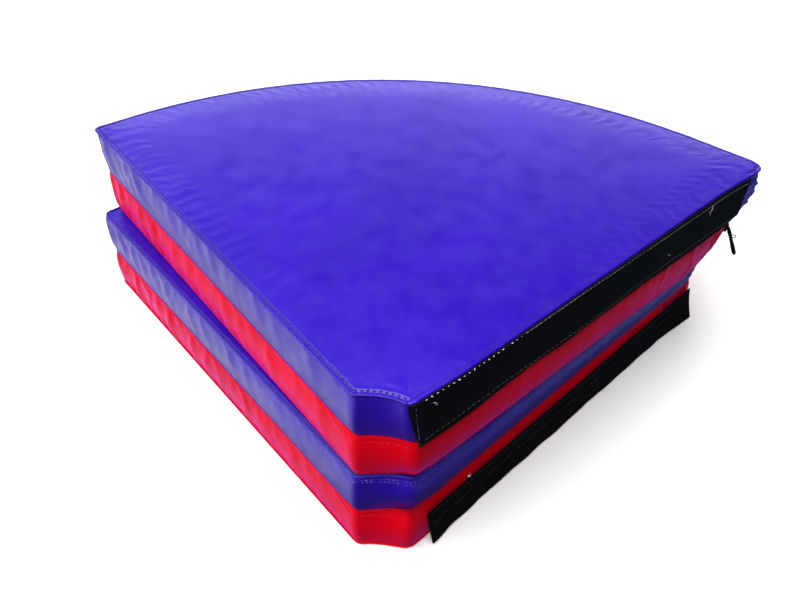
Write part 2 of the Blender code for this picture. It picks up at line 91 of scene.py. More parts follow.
pads = [
    {"name": "base", "way": 1, "turn": stack["fanAngle"], "closes": True, "rightCorner": 0.028,
     "vinyl": "redVinyl", "zipFrom": ("arc", 0.045), "folds": ("none", "left")},
    {"name": "lower", "way": -1, "turn": stack["fanAngle"], "closes": False, "rightCorner": 0.040,
     "vinyl": "purpleVinyl", "zipFrom": ("arc", 0.045), "folds": ("left", "right")},
    {"name": "upper", "way": 1, "turn": 0.0, "closes": False, "rightCorner": 0.050,
     "vinyl": "redVinyl", "zipFrom": ("corner", 0.25), "folds": ("right", "left")},
    {"name": "top", "way": -1, "turn": 0.0, "closes": True, "rightCorner": 0.022,
     "vinyl": "purpleVinyl", "zipFrom": ("arc", 0.045), "folds": ("left", "none")},
]
slotOf = {"purpleVinyl": "purple_vinyl", "redVinyl": "red_vinyl"}
poleLine = np.array({j["name"]: j for j in frame["joints"]}["fold_lower"]["pos_m"][:2])
for pad in pads:
    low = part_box(pad["name"] + "_back_sheet")[0].z
    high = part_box(pad["name"] + "_face_sheet")[1].z
    pad["level"], pad["half"] = (low + high) / 2, (high - low) / 2
    pad["body"], pad["slot"] = pad["name"] + "_pad", slotOf[pad["vinyl"]]
basePad, topPad = pads[0], pads[3]
upward = np.array([0.0, 0.0, 1.0])


# Numbers on a line and on a surface

def smooth(t):
    # 3 t squared minus 2 t cubed, held at 0 and 1 outside
    t = np.clip(t, 0.0, 1.0)
    return t * t * (3 - 2 * t)


def bump(x, middle, width):
    # bell curve: e to the minus square of the distance over the width
    return np.exp(-((x - middle) / width) ** 2)


def unit(v):
    return v / np.maximum(np.linalg.norm(v, axis=-1, keepdims=True), 1e-12)


def circle(count):
    return np.arange(count) / count * 2 * math.pi


def lengthsAlong(path, closed=False):
    # running length: the sum of the steps up to each point
    steps = np.linalg.norm(np.diff(path, axis=0, append=path[:1] if closed else path[-1:]), axis=-1)
    return np.concatenate([[0.0], np.cumsum(steps)])[:len(path) + (1 if closed else 0)]


def between(at, run, values):
    # the values that belong to given running lengths, straight between their neighbours
    return np.stack([np.interp(at, run, column) for column in values.T], -1)


def resample(path, at, closed=False):
    line = np.concatenate([path, path[:1]]) if closed else path
    return between(at, lengthsAlong(path, closed), line)


def waves(x, lengths, seed):
    # sum of sines of the given wavelengths, each with its own phase, divided by their number
    phase = np.random.default_rng(seed).uniform(0, 2 * math.pi, len(lengths))
    return sum(np.sin(2 * math.pi * x / w + p) for w, p in zip(lengths, phase)) / len(lengths)


# Meshes out of grids

def gridMesh(name, grid, closeRows=False, poles=None, caps=False, uv=None):
    # quads between neighbours of a rows by columns grid of points, closed round its columns; poles close the first
    # and last row with a fan, caps with one face; uv gives metres along the rows and columns
    rows, cols = grid.shape[:2]
    i, j = np.meshgrid(np.arange(rows if closeRows else rows - 1), np.arange(cols), indexing="ij")
    nextI, nextJ = (i + 1) % rows, (j + 1) % cols
    quads = np.stack([i * cols + j, i * cols + nextJ, nextI * cols + nextJ, nextI * cols + j], -1)
    faces = quads.reshape(-1, 4).tolist()
    points = grid.reshape(-1, 3)
    if poles is not None:
        points = np.concatenate([points, poles])
        ring = np.arange(cols)
        after = (ring + 1) % cols
        lastRow = (rows - 1) * cols
        first = np.stack([after, ring, np.full(cols, rows * cols)], -1)
        last = np.stack([ring + lastRow, after + lastRow, np.full(cols, rows * cols + 1)], -1)
        faces += first.tolist() + last.tolist()
    if caps:
        faces.append(list(range(cols))[::-1])
        faces.append(list(range((rows - 1) * cols, rows * cols)))
    mesh = bpy.data.meshes.new(name)
    mesh.from_pydata(points.tolist(), [], faces)
    if uv is not None:
        along, across = uv
        corners = np.stack([np.stack([along[i + a], across[j + b]], -1)
                            for a, b in ((0, 0), (0, 1), (1, 1), (1, 0))], 2)
        flat = np.zeros((len(mesh.loops), 2))
        flat[:corners.size // 2] = corners.reshape(-1, 2)
        mesh.uv_layers.new(name="UVMap").data.foreach_set("uv", flat.ravel())
    mesh.validate()
    return mesh


def addObject(name, data):
    obj = bpy.data.objects.new(name, data)
    bpy.context.scene.collection.objects.link(obj)
    return obj


def addPiece(name, mesh, looks, body, sharpAbove=None):
    # put a mesh into the scene with its finish and let it move with a body of the model
    obj = addObject(name, mesh)
    for look in looks if isinstance(looks, tuple) else (looks,):
        mesh.materials.append(finish[look])
    mesh.shade_smooth()
    if sharpAbove:
        mesh.set_sharp_from_angle(angle=math.radians(sharpAbove))
    if body:
        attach(obj, body)
    return obj


def addGrid(name, grid, looks, body, slot=None, sharpAbove=None, **ends):
    return addPiece(name, gridMesh(name, grid, **ends), looks, body, sharpAbove)


def addParts(name, parts, look, body):
    # several (points, faces) pairs as one piece
    starts = np.cumsum([0] + [len(points) for points, _ in parts])
    faces = np.concatenate([some + start for (_, some), start in zip(parts, starts)])
    mesh = bpy.data.meshes.new(name)
    mesh.from_pydata(np.concatenate([points for points, _ in parts]).tolist(), [], faces.tolist())
    return addPiece(name, mesh, look, body)


def sweep(path, out, up, profile):
    # carry a profile of (out, up) offsets along a path: point = path + out * a + up * b
    return path[:, None] + out[:, None] * profile[:, :1] + up[:, None] * profile[:, 1:]


def roundedBar(width, height, corner):
    # closed profile: a rectangle about its middle with quarter circles at its corners
    turn = np.radians([0.0, 45.0, 90.0])
    turns = [turn + k * math.pi / 2 for k in range(4)]
    mids = np.array([(1, 1), (-1, 1), (-1, -1), (1, -1)]) * np.array([width / 2 - corner, height / 2 - corner])
    return np.concatenate([m + corner * np.stack([np.cos(t), np.sin(t)], -1) for m, t in zip(mids, turns)])


def repeated(template, faces, places, run, side, up):
    # copies of a small form: point = place + run * x + side * y + up * z for each place
    x, y, z = (template[None, :, k:k + 1] for k in range(3))
    points = places[:, None] + run[:, None] * x + side[:, None] * y + up[:, None] * z
    quads = faces[None] + np.arange(len(places))[:, None, None] * len(template)
    return points.reshape(-1, 3), quads.reshape(-1, 4)


# Plan of a pad: the pole line is at 0, 0 and the arc lies along +y

def edgeAxes(side):
    # a straight wall's way out from the pole line, and its normal into the pad
    c = math.sqrt(0.5)
    return np.array([side * c, c]), np.array([-side * c, c])


def wallInset(pad, side):
    return stack["closureInset"] if side > 0 and pad["closes"] else stack["foldInset"]


def outerCorner(pad, side, inset):
    # centre and radius of the round corner that lies its radius inside a straight wall and the arc
    along, inward = edgeAxes(side)
    radius = max((pad["rightCorner"] if side > 0 else stack["leftCorner"]) - inset, stack["leastCorner"])
    depth = wallInset(pad, side) + inset + radius
    reach = math.sqrt((stack["matRadius"] - inset - radius) ** 2 - depth ** 2)
    return along * reach + inward * depth, radius


def cutCircle(inset):
    # centre and radius of the cut for the pole: radius = (chord squared / 4 + rise squared) / (2 * rise)
    left, right = edgeAxes(-1)[0] * stack["holeLegLeft"], edgeAxes(1)[0] * stack["holeLegRight"]
    chord, rise = right - left, stack["holeRise"]
    away = unit(np.array([-chord[1], chord[0]]))
    radius = ((chord @ chord) / 4 + rise ** 2) / (2 * rise)
    return (left + right) / 2 + away * (rise - radius), radius + inset


def innerCorner(pad, side, inset):
    # centre and radius of the round corner that touches a straight wall and, from outside, the cut
    along, inward = edgeAxes(side)
    centre, cutRadius = cutCircle(inset)
    radius = max(stack["cutCorner"] - inset, stack["leastCorner"])
    depth = wallInset(pad, side) + inset + radius
    reach = centre @ along + math.sqrt((cutRadius + radius) ** 2 - (depth - centre @ inward) ** 2)
    return along * reach + inward * depth, radius


stretchLengths = {"wall": 0.528, "corner": 0.042, "arc": 0.864, "leftCorner": 0.018,
                  "leftWall": 0.534, "nearLeft": 0.012, "cut": 0.052, "nearRight": 0.012}


def stretches(spacing):
    # first column of each stretch of the outline, its number of columns, and all columns
    counts = {k: 2 * max(2, round(v / spacing / 2)) for k, v in stretchLengths.items()}
    ends = np.cumsum([0] + list(counts.values()))
    return dict(zip(counts, ends)), counts, np.arange(ends[-1])


def outlineRing(pad, inset, spacing):
    # plan outline drawn in by inset, counter-clockwise from the pole cut: right wall, outer corner, arc,
    # left corner, left wall and the cut; a stretch has as many points at every inset
    n = stretches(spacing)[1]
    radius = stack["matRadius"] - inset
    cutCentre, cutRadius = cutCircle(inset)
    places = []
    for side in (1, -1):
        inward = edgeAxes(side)[1]
        far, farRadius = outerCorner(pad, side, inset)
        near, nearRadius = innerCorner(pad, side, inset)
        toCut = cutRadius / (cutRadius + nearRadius)
        places.append((far, near, near - inward * nearRadius, far - inward * farRadius,
                       far * radius / (radius - farRadius), cutCentre + (near - cutCentre) * toCut))
    (farRight, nearRight, rightNear, rightFar, arcRight, cutRight) = places[0]
    (farLeft, nearLeft, leftNear, leftFar, arcLeft, cutLeft) = places[1]

    def straight(a, b, count):
        return a + (b - a) * (np.arange(count) / count)[:, None]

    def bend(centre, a, b, count, way=1):
        start, stop = (math.atan2(*(p - centre)[::-1]) for p in (a, b))
        angle = start + way * ((way * (stop - start)) % (2 * math.pi)) * np.arange(count) / count
        return centre + math.dist(a, centre) * np.stack([np.cos(angle), np.sin(angle)], -1)

    return np.concatenate([
        straight(rightNear, rightFar, n["wall"]),
        bend(farRight, rightFar, arcRight, n["corner"]),
        bend(np.zeros(2), arcRight, arcLeft, n["arc"]),
        bend(farLeft, arcLeft, leftFar, n["leftCorner"]),
        straight(leftFar, leftNear, n["leftWall"]),
        bend(nearLeft, leftNear, cutLeft, n["nearLeft"]),
        bend(cutCentre, cutLeft, cutRight, n["cut"], -1),
        bend(nearRight, cutRight, rightNear, n["nearRight"]),
    ])


def outwardOf(ring):
    # unit normal of a counter-clockwise outline: the step from the point before to the point after, turned right
    step = np.roll(ring, -1, 0) - np.roll(ring, 1, 0)
    return unit(np.stack([step[:, 1], -step[:, 0]], -1))


# where the soft cover is drawn out of its plan: place and movement in the pad's own frame, and reach in plan and
# in height
pulls = {
    "top": [((0.031, 0.029, 0.034), (-0.0060, -0.0020, 0.0), (0.030, 0.050)),
            ((0.418, 0.405, 0.020), (0.0072, 0.0022, 0.0), (0.048, 0.080)),
            ((0.426, 0.404, -0.005), (0.0085, 0.0050, 0.0), (0.026, 0.060)),
            ((-0.421, 0.414, 0.028), (-0.0020, 0.0, 0.0018), (0.020, 0.018))],
    "upper": [((0.030, 0.029, -0.032), (0.0020, 0.0055, 0.0), (0.024, 0.030)),
              ((0.405, 0.385, -0.030), (-0.0120, -0.0030, 0.0), (0.036, 0.034))],
    "lower": [((0.030, 0.029, -0.032), (0.0010, 0.0055, 0.0), (0.024, 0.040))],
    "base": [((0.000, 0.030, -0.034), (0.0020, -0.0025, 0.0), (0.055, 0.036)),
             ((0.030, 0.029, -0.034), (0.0008, 0.0026, 0.0012), (0.014, 0.020))],
}


def pulled(pad, points):
    # each point moves by the sum of the pulls, each times a bell in plan and one in height
    moved = points
    for at, by, (flat, tall) in pulls.get(pad.get("name"), []):
        away = points - np.array(at)
        weight = np.exp(-(away[..., 0] ** 2 + away[..., 1] ** 2) / flat ** 2 - (away[..., 2] / tall) ** 2)
        moved = moved + weight[..., None] * np.array(by)
    return moved


def turned(pad, vectors):
    # about the pole line by the pad's own turn
    c, s = math.cos(pad["turn"]), math.sin(pad["turn"])
    x, y, z = vectors[..., 0], vectors[..., 1], vectors[..., 2]
    return np.stack([c * x - s * y, s * x + c * y, z], -1)


def toWorld(pad, points):
    # turn a pad's own points about the pole line and lift them to its level
    return turned(pad, pulled(pad, points)) + np.array([*poleLine, pad["level"]])


def withZ(plan, z):
    return np.concatenate([plan, np.broadcast_to(np.asarray(z, float), plan.shape[:-1])[..., None]], -1)


# Finishes

finish = {}


def addNode(tree, kind, sockets, output=0, operation=None):
    # a shader node, and one of its outputs
    node = tree.nodes.new("ShaderNode" + kind)
    if operation:
        node.operation = operation
    setSockets(tree, node, sockets)
    return node.outputs[output]


def setSockets(tree, node, sockets):
    # a socket takes a value, or a wire from another node's output
    for socket, value in sockets.items():
        if isinstance(value, bpy.types.NodeSocket):
            tree.links.new(value, node.inputs[socket])
        else:
            node.inputs[socket].default_value = value


def newMaterial(name, place="Object"):
    # a material's node tree and the places that its patterns are laid on
    finish[name] = bpy.data.materials.new(name)
    finish[name].use_nodes = True
    tree = finish[name].node_tree
    return tree, addNode(tree, "TexCoord", {}, place)


def noise(tree, place, scale, detail, rough):
    return addNode(tree, "TexNoise", {"Vector": place, "Scale": scale, "Detail": detail, "Roughness": rough}, "Fac")


def cells(tree, place, scale):
    return addNode(tree, "TexVoronoi", {"Vector": place, "Scale": scale}, "Distance")


def ramp(tree, source, stops):
    fac = addNode(tree, "ValToRGB", {"Fac": source}, "Color")
    elements = fac.node.color_ramp.elements
    for k, (place, colour) in enumerate(stops):
        stop = elements[k] if k < 2 else elements.new(place)
        stop.position = place
        stop.color = (*colour, 1.0)
    return fac


def span(tree, source, fromLow, fromHigh, toLow, toHigh):
    return addNode(tree, "MapRange", {"Value": source, "From Min": fromLow, "From Max": fromHigh,
                                      "To Min": toLow, "To Max": toHigh}, "Result")


def dress(tree, sockets, layers):
    # wire up the surface; the layers are heights on one another, each (height, distance in metres, strength)
    shader = tree.nodes["Principled BSDF"]
    for height, distance, strength in layers:
        under = {"Normal": sockets["Normal"]} if "Normal" in sockets else {}
        sockets["Normal"] = addNode(tree, "Bump", {"Height": height, "Distance": distance, "Strength": strength,
                                                   **under}, "Normal")
    setSockets(tree, shader, sockets)


vinylTones = {
    "purpleVinyl": {"deep": (0.021, 0.0010, 0.31), "plain": (0.027, 0.0014, 0.36), "pale": (0.034, 0.0022, 0.40),
                    "shine": 0.46, "bloom": 0.0, "bloomTint": (0.9, 0.9, 1.0, 1.0)},
    "redVinyl": {"deep": (0.58, 0.0010, 0.006), "plain": (0.68, 0.0012, 0.010), "pale": (0.73, 0.0020, 0.018),
                 "shine": 0.03, "bloom": 0.6, "bloomTint": (1.0, 0.10, 0.90, 1.0)},
}
# finish: colour of the ground, of the lint on it, cells to the metre, roughness
webbings = {
    "hookTape": ((0.0020, 0.0042, 0.0045), (0.007, 0.011, 0.011), 900.0, 0.8),
    "loopTape": ((0.0016, 0.0034, 0.0036), (0.006, 0.009, 0.009), 620.0, 0.92),
    "gripRubber": ((0.004, 0.004, 0.005), (0.014, 0.014, 0.015), 1500.0, 0.55),
}
# thread: its dark and its pale bands
threads = {
    "paleThread": ((0.42, 0.42, 0.40), (0.86, 0.86, 0.82)),
    "greyThread": ((0.05, 0.06, 0.055), (0.16, 0.17, 0.16)),
    "fadedThread": ((0.12, 0.13, 0.12), (0.34, 0.35, 0.33)),
    "purpleThread": ((0.018, 0.002, 0.22), (0.045, 0.008, 0.44)),
    # dark indigo seam thread: partly the thread's own colour, partly painted shade of the groove that the seam's rows
    # lie in
    "indigoThread": ((0.003, 0.001, 0.05), (0.012, 0.003, 0.13)),
    "redThread": ((0.42, 0.001, 0.006), (0.62, 0.004, 0.018)),
    "lavenderThread": ((0.08, 0.06, 0.38), (0.24, 0.20, 0.64)),
    "darkThread": ((0.010, 0.013, 0.013), (0.028, 0.034, 0.033)),
    "lint": ((0.20, 0.22, 0.21), (0.50, 0.52, 0.50)),
}
threadOf = {"purpleVinyl": "purpleThread", "redVinyl": "redThread"}
seamThreadOf = {"purpleVinyl": "indigoThread", "redVinyl": "redThread"}


def makeVinyl(name, tones):
    # coated cloth: slow change of tone, fine leather grain, faint dents where the foam shows through, and on the
    # red one a bloom of another tint at a low angle
    tree, place = newMaterial(name)
    tone = noise(tree, place, 6.0, 4.0, 0.6)
    gloss = noise(tree, place, 38.0, 3.0, 0.6)
    dents, pores = noise(tree, place, 26.0, 3.0, 0.5), noise(tree, place, 620.0, 2.0, 0.6)
    dress(tree, {
        "Base Color": ramp(tree, tone, [(0.30, tones["deep"]), (0.72, tones["pale"]), (0.5, tones["plain"])]),
        "Roughness": span(tree, gloss, 0.3, 0.7, 0.30, 0.40), "Specular IOR Level": tones["shine"],
        "Sheen Weight": tones["bloom"], "Sheen Roughness": 0.30, "Sheen Tint": tones["bloomTint"],
    }, [(dents, 0.0012, 0.25), (cells(tree, place, 1250.0), 0.00012, 0.30), (pores, 0.00015, 0.30)])


def makeWebbing(name, colour, pale, cellScale, roughness):
    # sewn closing tape: a dense field of tiny hooks or loops with lint between them
    tree, place = newMaterial(name)
    lint, creases = noise(tree, place, 150.0, 5.0, 0.7), noise(tree, place, 34.0, 3.0, 0.5)
    dress(tree, {"Base Color": ramp(tree, lint, [(0.42, colour), (0.78, pale)]), "Roughness": roughness,
                 "Specular IOR Level": 0.10},
          [(creases, 0.0015, 0.35), (cells(tree, place, cellScale), 0.0006, 0.7), (lint, 0.0004, 0.4)])


def makeThread(name, dark, pale):
    # twisted thread: narrow slanted bands along the stitch
    tree, place = newMaterial(name)
    twist = addNode(tree, "TexWave", {"Vector": place, "Scale": 420.0, "Distortion": 1.5}, "Fac")
    dress(tree, {"Base Color": ramp(tree, twist, [(0.15, dark), (0.8, pale)]), "Roughness": 0.62,
                 "Sheen Weight": 0.2}, [(twist, 0.0002, 0.5)])


def makeTape():
    # woven zip tape: fine herringbone from two crossed waves on the tape's own map
    tree, place = newMaterial("zipTape", "UV")
    ribs = [addNode(tree, "TexWave", {"Vector": addNode(tree, "Mapping", {"Vector": place, "Rotation": (0, 0, turn)}),
                                      "Scale": 300.0}, "Fac") for turn in (0.6, -0.6)]
    dress(tree, {"Base Color": ramp(tree, ribs[0], [(0.2, (0.008, 0.008, 0.010)), (0.9, (0.030, 0.030, 0.034))]),
                 "Roughness": 0.85, "Sheen Weight": 0.2}, [(rib, 0.0003, 0.6) for rib in ribs])


def makeTeeth():
    # nylon teeth: slightly scuffed, satin
    tree, place = newMaterial("zipTeeth")
    scuff = noise(tree, place, 260.0, 4.0, 0.7)
    dress(tree, {"Base Color": ramp(tree, scuff, [(0.35, (0.010, 0.010, 0.012)), (0.8, (0.045, 0.045, 0.050))]),
                 "Roughness": span(tree, scuff, 0.3, 0.7, 0.30, 0.52)}, [(scuff, 0.0001, 0.3)])


def makeBlackedMetal():
    # painted die casting: black paint, a little bare metal where it rubs
    tree, place = newMaterial("blackedMetal")
    rub, cast = noise(tree, place, 420.0, 5.0, 0.75), noise(tree, place, 900.0, 2.0, 0.5)
    dress(tree, {"Base Color": ramp(tree, rub, [(0.60, (0.012, 0.012, 0.013)), (0.74, (0.16, 0.16, 0.16))]),
                 "Roughness": span(tree, rub, 0.3, 0.8, 0.28, 0.5), "Metallic": 0.75}, [(cast, 0.0001, 0.25)])


def makeFoam():
    # open foam: pale with cells
    tree, place = newMaterial("foamCells")
    age = noise(tree, place, 14.0, 3.0, 0.5)
    dress(tree, {"Base Color": ramp(tree, age, [(0.3, (0.74, 0.70, 0.58)), (0.7, (0.84, 0.82, 0.74))]),
                 "Roughness": 0.95}, [(cells(tree, place, 480.0), 0.0010, 0.7)])


for name, tones in vinylTones.items():
    makeVinyl(name, tones)
for name, values in webbings.items():
    makeWebbing(name, *values)
for name, bands in threads.items():
    makeThread(name, *bands)
makeTape()
makeTeeth()
makeBlackedMetal()
makeFoam()
print("finishes made:", len(finish))


# Covers: one closed, padded surface for each pad

cover = {
    "spacing": 0.0030,         # along the outline
    "middle": (0.0, 0.34),     # where the rings of a face shrink to
    "seamTuck": 0.0028,        # the wall draws in at its seams
    "outerFall": 0.0015,       # an outside face falls to its edge by this
    "innerFall": 0.0003,       # a face that lies on another pad
    "crownReach": 0.060,
    "rim": 0.0030,             # face to the top of the wall
    "rimDrops": (0.9, 1.7, 2.5),    # millimetres under the face
    "wallRows": 39,
    "groove": 0.0013,          # dip along the inner edge of the seam's lip
    "grooveWidth": 0.0009,
    "underLip": 0.0007,        # the face lies lower under the lip
    "lipWidth": 0.0046,
    "wrinkle": 0.0016,         # depth of the soft folds in the walls near the left end
    "wrinkleReach": 0.17,
    "wrinkleLeft": 0.30,       # share of them along the rest of the left wall, fading towards the cut
    "wrinkleFade": 0.05,
    "wrinkleRest": 0.12,       # and everywhere else
    "lean": 0.18,              # how much the soft folds lean
    "unrest": 0.0003,          # slow waves of a wall
    "crumple": 0.0010,         # depth of the small folds at the far right corner
    "crumpleReach": 0.022,
    "dimple": 0.00022,
    "edgeFold": 0.00010,       # short folds along a face's edge
    "windowDepth": 0.0013,     # zip window, behind the tucked wall
    "windowHalf": 0.0080,
    "windowMiddle": 0.0093,
    "zipEnd": 0.136,           # share of the arc between the zip's end and the left corner
    "drawReach": 0.012,        # how far inside its edge a face is drawn in
    "seeds": {"base": 3, "lower": 5, "upper": 8, "top": 12},
}
faceInsets = np.array([60, 52, 45, 39, 33.5, 28.5, 24, 20, 16.5, 13.5, 11, 9, 7.4, 6.2, 5.4, 4.8]) / 1000
faceShares = np.array([0.10, 0.22, 0.34, 0.46, 0.58, 0.70, 0.82, 0.92])
# the last rings of a face and the rim under them, on an outside face and on one that lies on another pad
edgeInsets = {True: (np.array([4.0, 2.9, 1.7]) / 1000, np.array([1.1, 1.3, 1.9]) / 1000),
              False: (np.array([4.4, 3.9, 3.4]) / 1000, np.array([3.0, 2.9, 2.8]) / 1000)}
# how much farther in the upper and lower seams of a right wall lie, so that the wall bows more
drawn = {"base": (0.0050, 0.0), "lower": (0.0045, 0.0035), "upper": (0.0010, 0.0035), "top": (0.0, 0.0008)}
farShare = 0.35    # and what is left of it at the wall's far end


def zipSpan(pad, spacing):
    # first and last column of a pad's zip
    starts, counts, _ = stretches(spacing)
    stretch, share = pad["zipFrom"]
    return (int(starts[stretch] + round(share * counts[stretch])),
            int(starts["leftCorner"] - round(cover["zipEnd"] * counts["arc"])))


def drawnIn(pad, side, spacing):
    # column by column: from nothing at the left of the cut to its full amount at the right wall, less far out
    starts, counts, k = stretches(spacing)
    wall = farShare + (1 - farShare) * smooth((counts["wall"] - k) / (0.5 * counts["wall"]))
    wall = np.where(k < starts["corner"], wall, farShare * smooth((starts["arc"] - k) / counts["corner"]))
    cut = smooth((k - starts["cut"]) / counts["cut"])
    return drawn[pad["name"]][0 if side > 0 else 1] * np.where(k < starts["arc"], wall, cut)


def edgeRings(pad, side, spacing, insets):
    # rings near an edge, moved in with its seam: by the whole amount at the edge, by nothing past drawReach
    plan = np.stack([outlineRing(pad, i, spacing) for i in insets])
    outward = outwardOf(outlineRing(pad, 0.0, spacing))
    share = 1 - smooth((insets[:, None] - 0.001) / cover["drawReach"])
    return plan - outward * (share * drawnIn(pad, side, spacing))[..., None]


def isOutside(pad, side):
    return (pad["name"], side) in (("top", 1), ("base", -1))


def lipStandsOut(pad, side):
    return (pad["name"], side) == ("top", 1)


def faceFall(pad, side):
    return cover["outerFall" if isOutside(pad, side) else "innerFall"]


def lipShow(pad, side, spacing):
    # how far a lip stands out, column by column: none where the top pad's strip covers the edge
    starts, _, k = stretches(spacing)
    if not lipStandsOut(pad, side):
        return np.ones(len(k))
    return 1 - np.maximum(smooth((starts["corner"] - k) / 6), smooth((k - starts["nearRight"]) / 4))


def coverFace(pad, side, spacing, run, centre):
    # rings from the middle of a face out to its edge; one minus the product of (1 - f) over the four walls,
    # f = (1 - distance / reach) squared, says how far the face falls
    half, reach = pad["half"], cover["crownReach"]
    insets = np.concatenate([faceInsets, edgeInsets[isOutside(pad, side)][0]])
    ring60 = outlineRing(pad, reach, spacing)
    inner = [centre + (ring60 - centre) * s for s in faceShares]
    plan = np.concatenate([inner, edgeRings(pad, side, spacing, insets)])
    inset = np.concatenate([np.full(len(faceShares), reach), insets])[:, None]
    cutCentre, cutRadius = cutCircle(0.0)
    walls = [plan @ edgeAxes(s)[1] - wallInset(pad, s) for s in (-1, 1)]
    walls += [stack["matRadius"] - np.linalg.norm(plan, axis=-1),
              np.linalg.norm(plan - cutCentre, axis=-1) - cutRadius]
    inside = np.prod([1 - (1 - np.clip(d / reach, 0, 1)) ** 2 for d in walls], axis=0)
    z = half - faceFall(pad, side) * (1 - inside)
    show = lipShow(pad, side, spacing) if lipStandsOut(pad, side) or not isOutside(pad, side) else 0
    z = z - show * (cover["groove"] * bump(inset, cover["lipWidth"] + 0.0008, cover["grooveWidth"])
                    + cover["underLip"] * smooth((cover["lipWidth"] - inset) / 0.001))
    x, y = plan[..., 0], plan[..., 1]
    seed = len(pad["name"]) + (10 if side > 0 else 0)
    soft = waves(x * 0.9 + y * 0.45, (0.13, 0.21, 0.083), seed) * waves(y - 0.3 * x, (0.17, 0.11, 0.29), seed + 1)
    fold = waves(run[None] + 0.0 * inset, (0.019, 0.031, 0.047), seed + 2) * bump(inset, 0.012, 0.012)
    z = z - cover["dimple"] * (0.5 + soft) * smooth(2 * inside) - cover["edgeFold"] * (1 + fold)
    return withZ(plan, side * z)


def coverWall(pad, spacing, run, ring0, outward):
    # rows down the wall: drawn in at the seams, soft folds that lean a little and are strongest at the left end,
    # short ones at the far right, and the zip's window; also where the zip tape is
    starts = stretches(spacing)[0]
    at = {name: run[column] for name, column in starts.items()}
    wallTop = pad["half"] - cover["rim"]
    levels = np.linspace(wallTop, -wallTop, cover["wallRows"])[:, None]
    share = levels / wallTop
    extra = np.where(share > 0, drawnIn(pad, 1, spacing)[None], drawnIn(pad, -1, spacing)[None])
    inset = (cover["seamTuck"] + extra) * share ** 2
    fade = cover["wrinkleFade"]
    leftEnd = bump(run, at["leftWall"], cover["wrinkleReach"])
    leftEnd = leftEnd + cover["wrinkleLeft"] * (run > at["leftWall"]) * smooth((at["nearLeft"] - run) / fade)
    leftEnd = np.where(run < at["leftCorner"] - fade, cover["wrinkleRest"], np.minimum(leftEnd, 1.0))
    seed = cover["seeds"][pad["name"]]
    lean = run[None] + cover["lean"] * levels + 0.004 * np.sin(levels / 0.011 + seed)
    folds = waves(lean, (0.031, 0.046, 0.074), seed) + 0.35 * waves(run[None] - 0.4 * levels, (0.019, 0.09), seed + 1)
    depth = cover["wrinkle"] * leftEnd[None] * (0.55 + 0.45 * np.abs(share)) * (1 - share ** 6)
    slow = cover["unrest"] * (1 + waves(run[None], (0.09, 0.15), seed + 2)) * (1 - share ** 2)
    inset = inset + depth * (0.6 + folds) + slow
    crumple = cover["crumple"] * bump(run, at["corner"] + 0.006, cover["crumpleReach"]) * (1 - share ** 4)
    inset = inset + crumple * (0.5 + waves(run[None] + 0.8 * levels, (0.0085, 0.013), seed + 3)
                               + 0.6 * waves(levels - 0.3 * run[None], (0.012, 0.019), seed + 4))
    first, last = zipSpan(pad, spacing)
    inZip = smooth((run - run[first]) / 0.004) * smooth((run[last] - run) / 0.004)
    across = np.abs(levels - pad["way"] * cover["windowMiddle"])
    inWindow = smooth((cover["windowHalf"] + 0.0010 - across) / 0.0016) * inZip[None]
    inset = inset * (1 - inWindow) + inWindow * (cover["seamTuck"] + cover["windowDepth"])
    tape = smooth((cover["windowHalf"] + 0.0060 - across) / 0.004) * inZip[None]
    return withZ(ring0[None] - outward[None] * inset[..., None], levels), tape


def coverGrid(pad, spacing):
    # rows run from the middle of the upper face over the rim and down the wall to the lower face
    half = pad["half"]
    ring0 = outlineRing(pad, 0.0, spacing)
    run, outward = lengthsAlong(ring0), outwardOf(ring0)
    centre = np.array(cover["middle"])
    wall, tape = coverWall(pad, spacing, run, ring0, outward)

    def rim(side):
        rings = edgeRings(pad, side, spacing, edgeInsets[isOutside(pad, side)][1])
        return withZ(rings, side * (half - faceFall(pad, side) - np.array(cover["rimDrops"]) / 1000)[:, None])

    upper, lower = (coverFace(pad, side, spacing, run, centre) for side in (1, -1))
    grid = np.concatenate([upper, rim(1), wall, rim(-1)[::-1], lower[::-1]])
    top = half - cover["dimple"] * 0.5
    first = len(upper) + len(cover["rimDrops"])
    rows = {"face": len(upper), "wall": (first, first + len(wall)), "tape": tape}
    return grid, np.array([[*centre, top], [*centre, -top]]), run, outward, rows


cloth = {"quality": 4, "mass": 0.4, "tension_stiffness": 25, "compression_stiffness": 25, "shear_stiffness": 10,
         "bending_stiffness": 0.8, "use_pressure": True, "uniform_pressure_force": 4.0, "shrink_min": -0.02}
clothSteps = 20
clothFree = {"wall": 1.0, "face": 0.6}
clothCap = {"wall": 0.0016, "face": 0.0008}
# share of the cloth's folds that each stretch of the outline keeps, and each face
clothShare = {"wall": 0.22, "corner": 0.55, "arc": 0.85, "leftCorner": 0.60, "leftWall": 0.42, "nearLeft": 0.25,
              "cut": 0.15, "nearRight": 0.15}
clothOnFace = 0.20


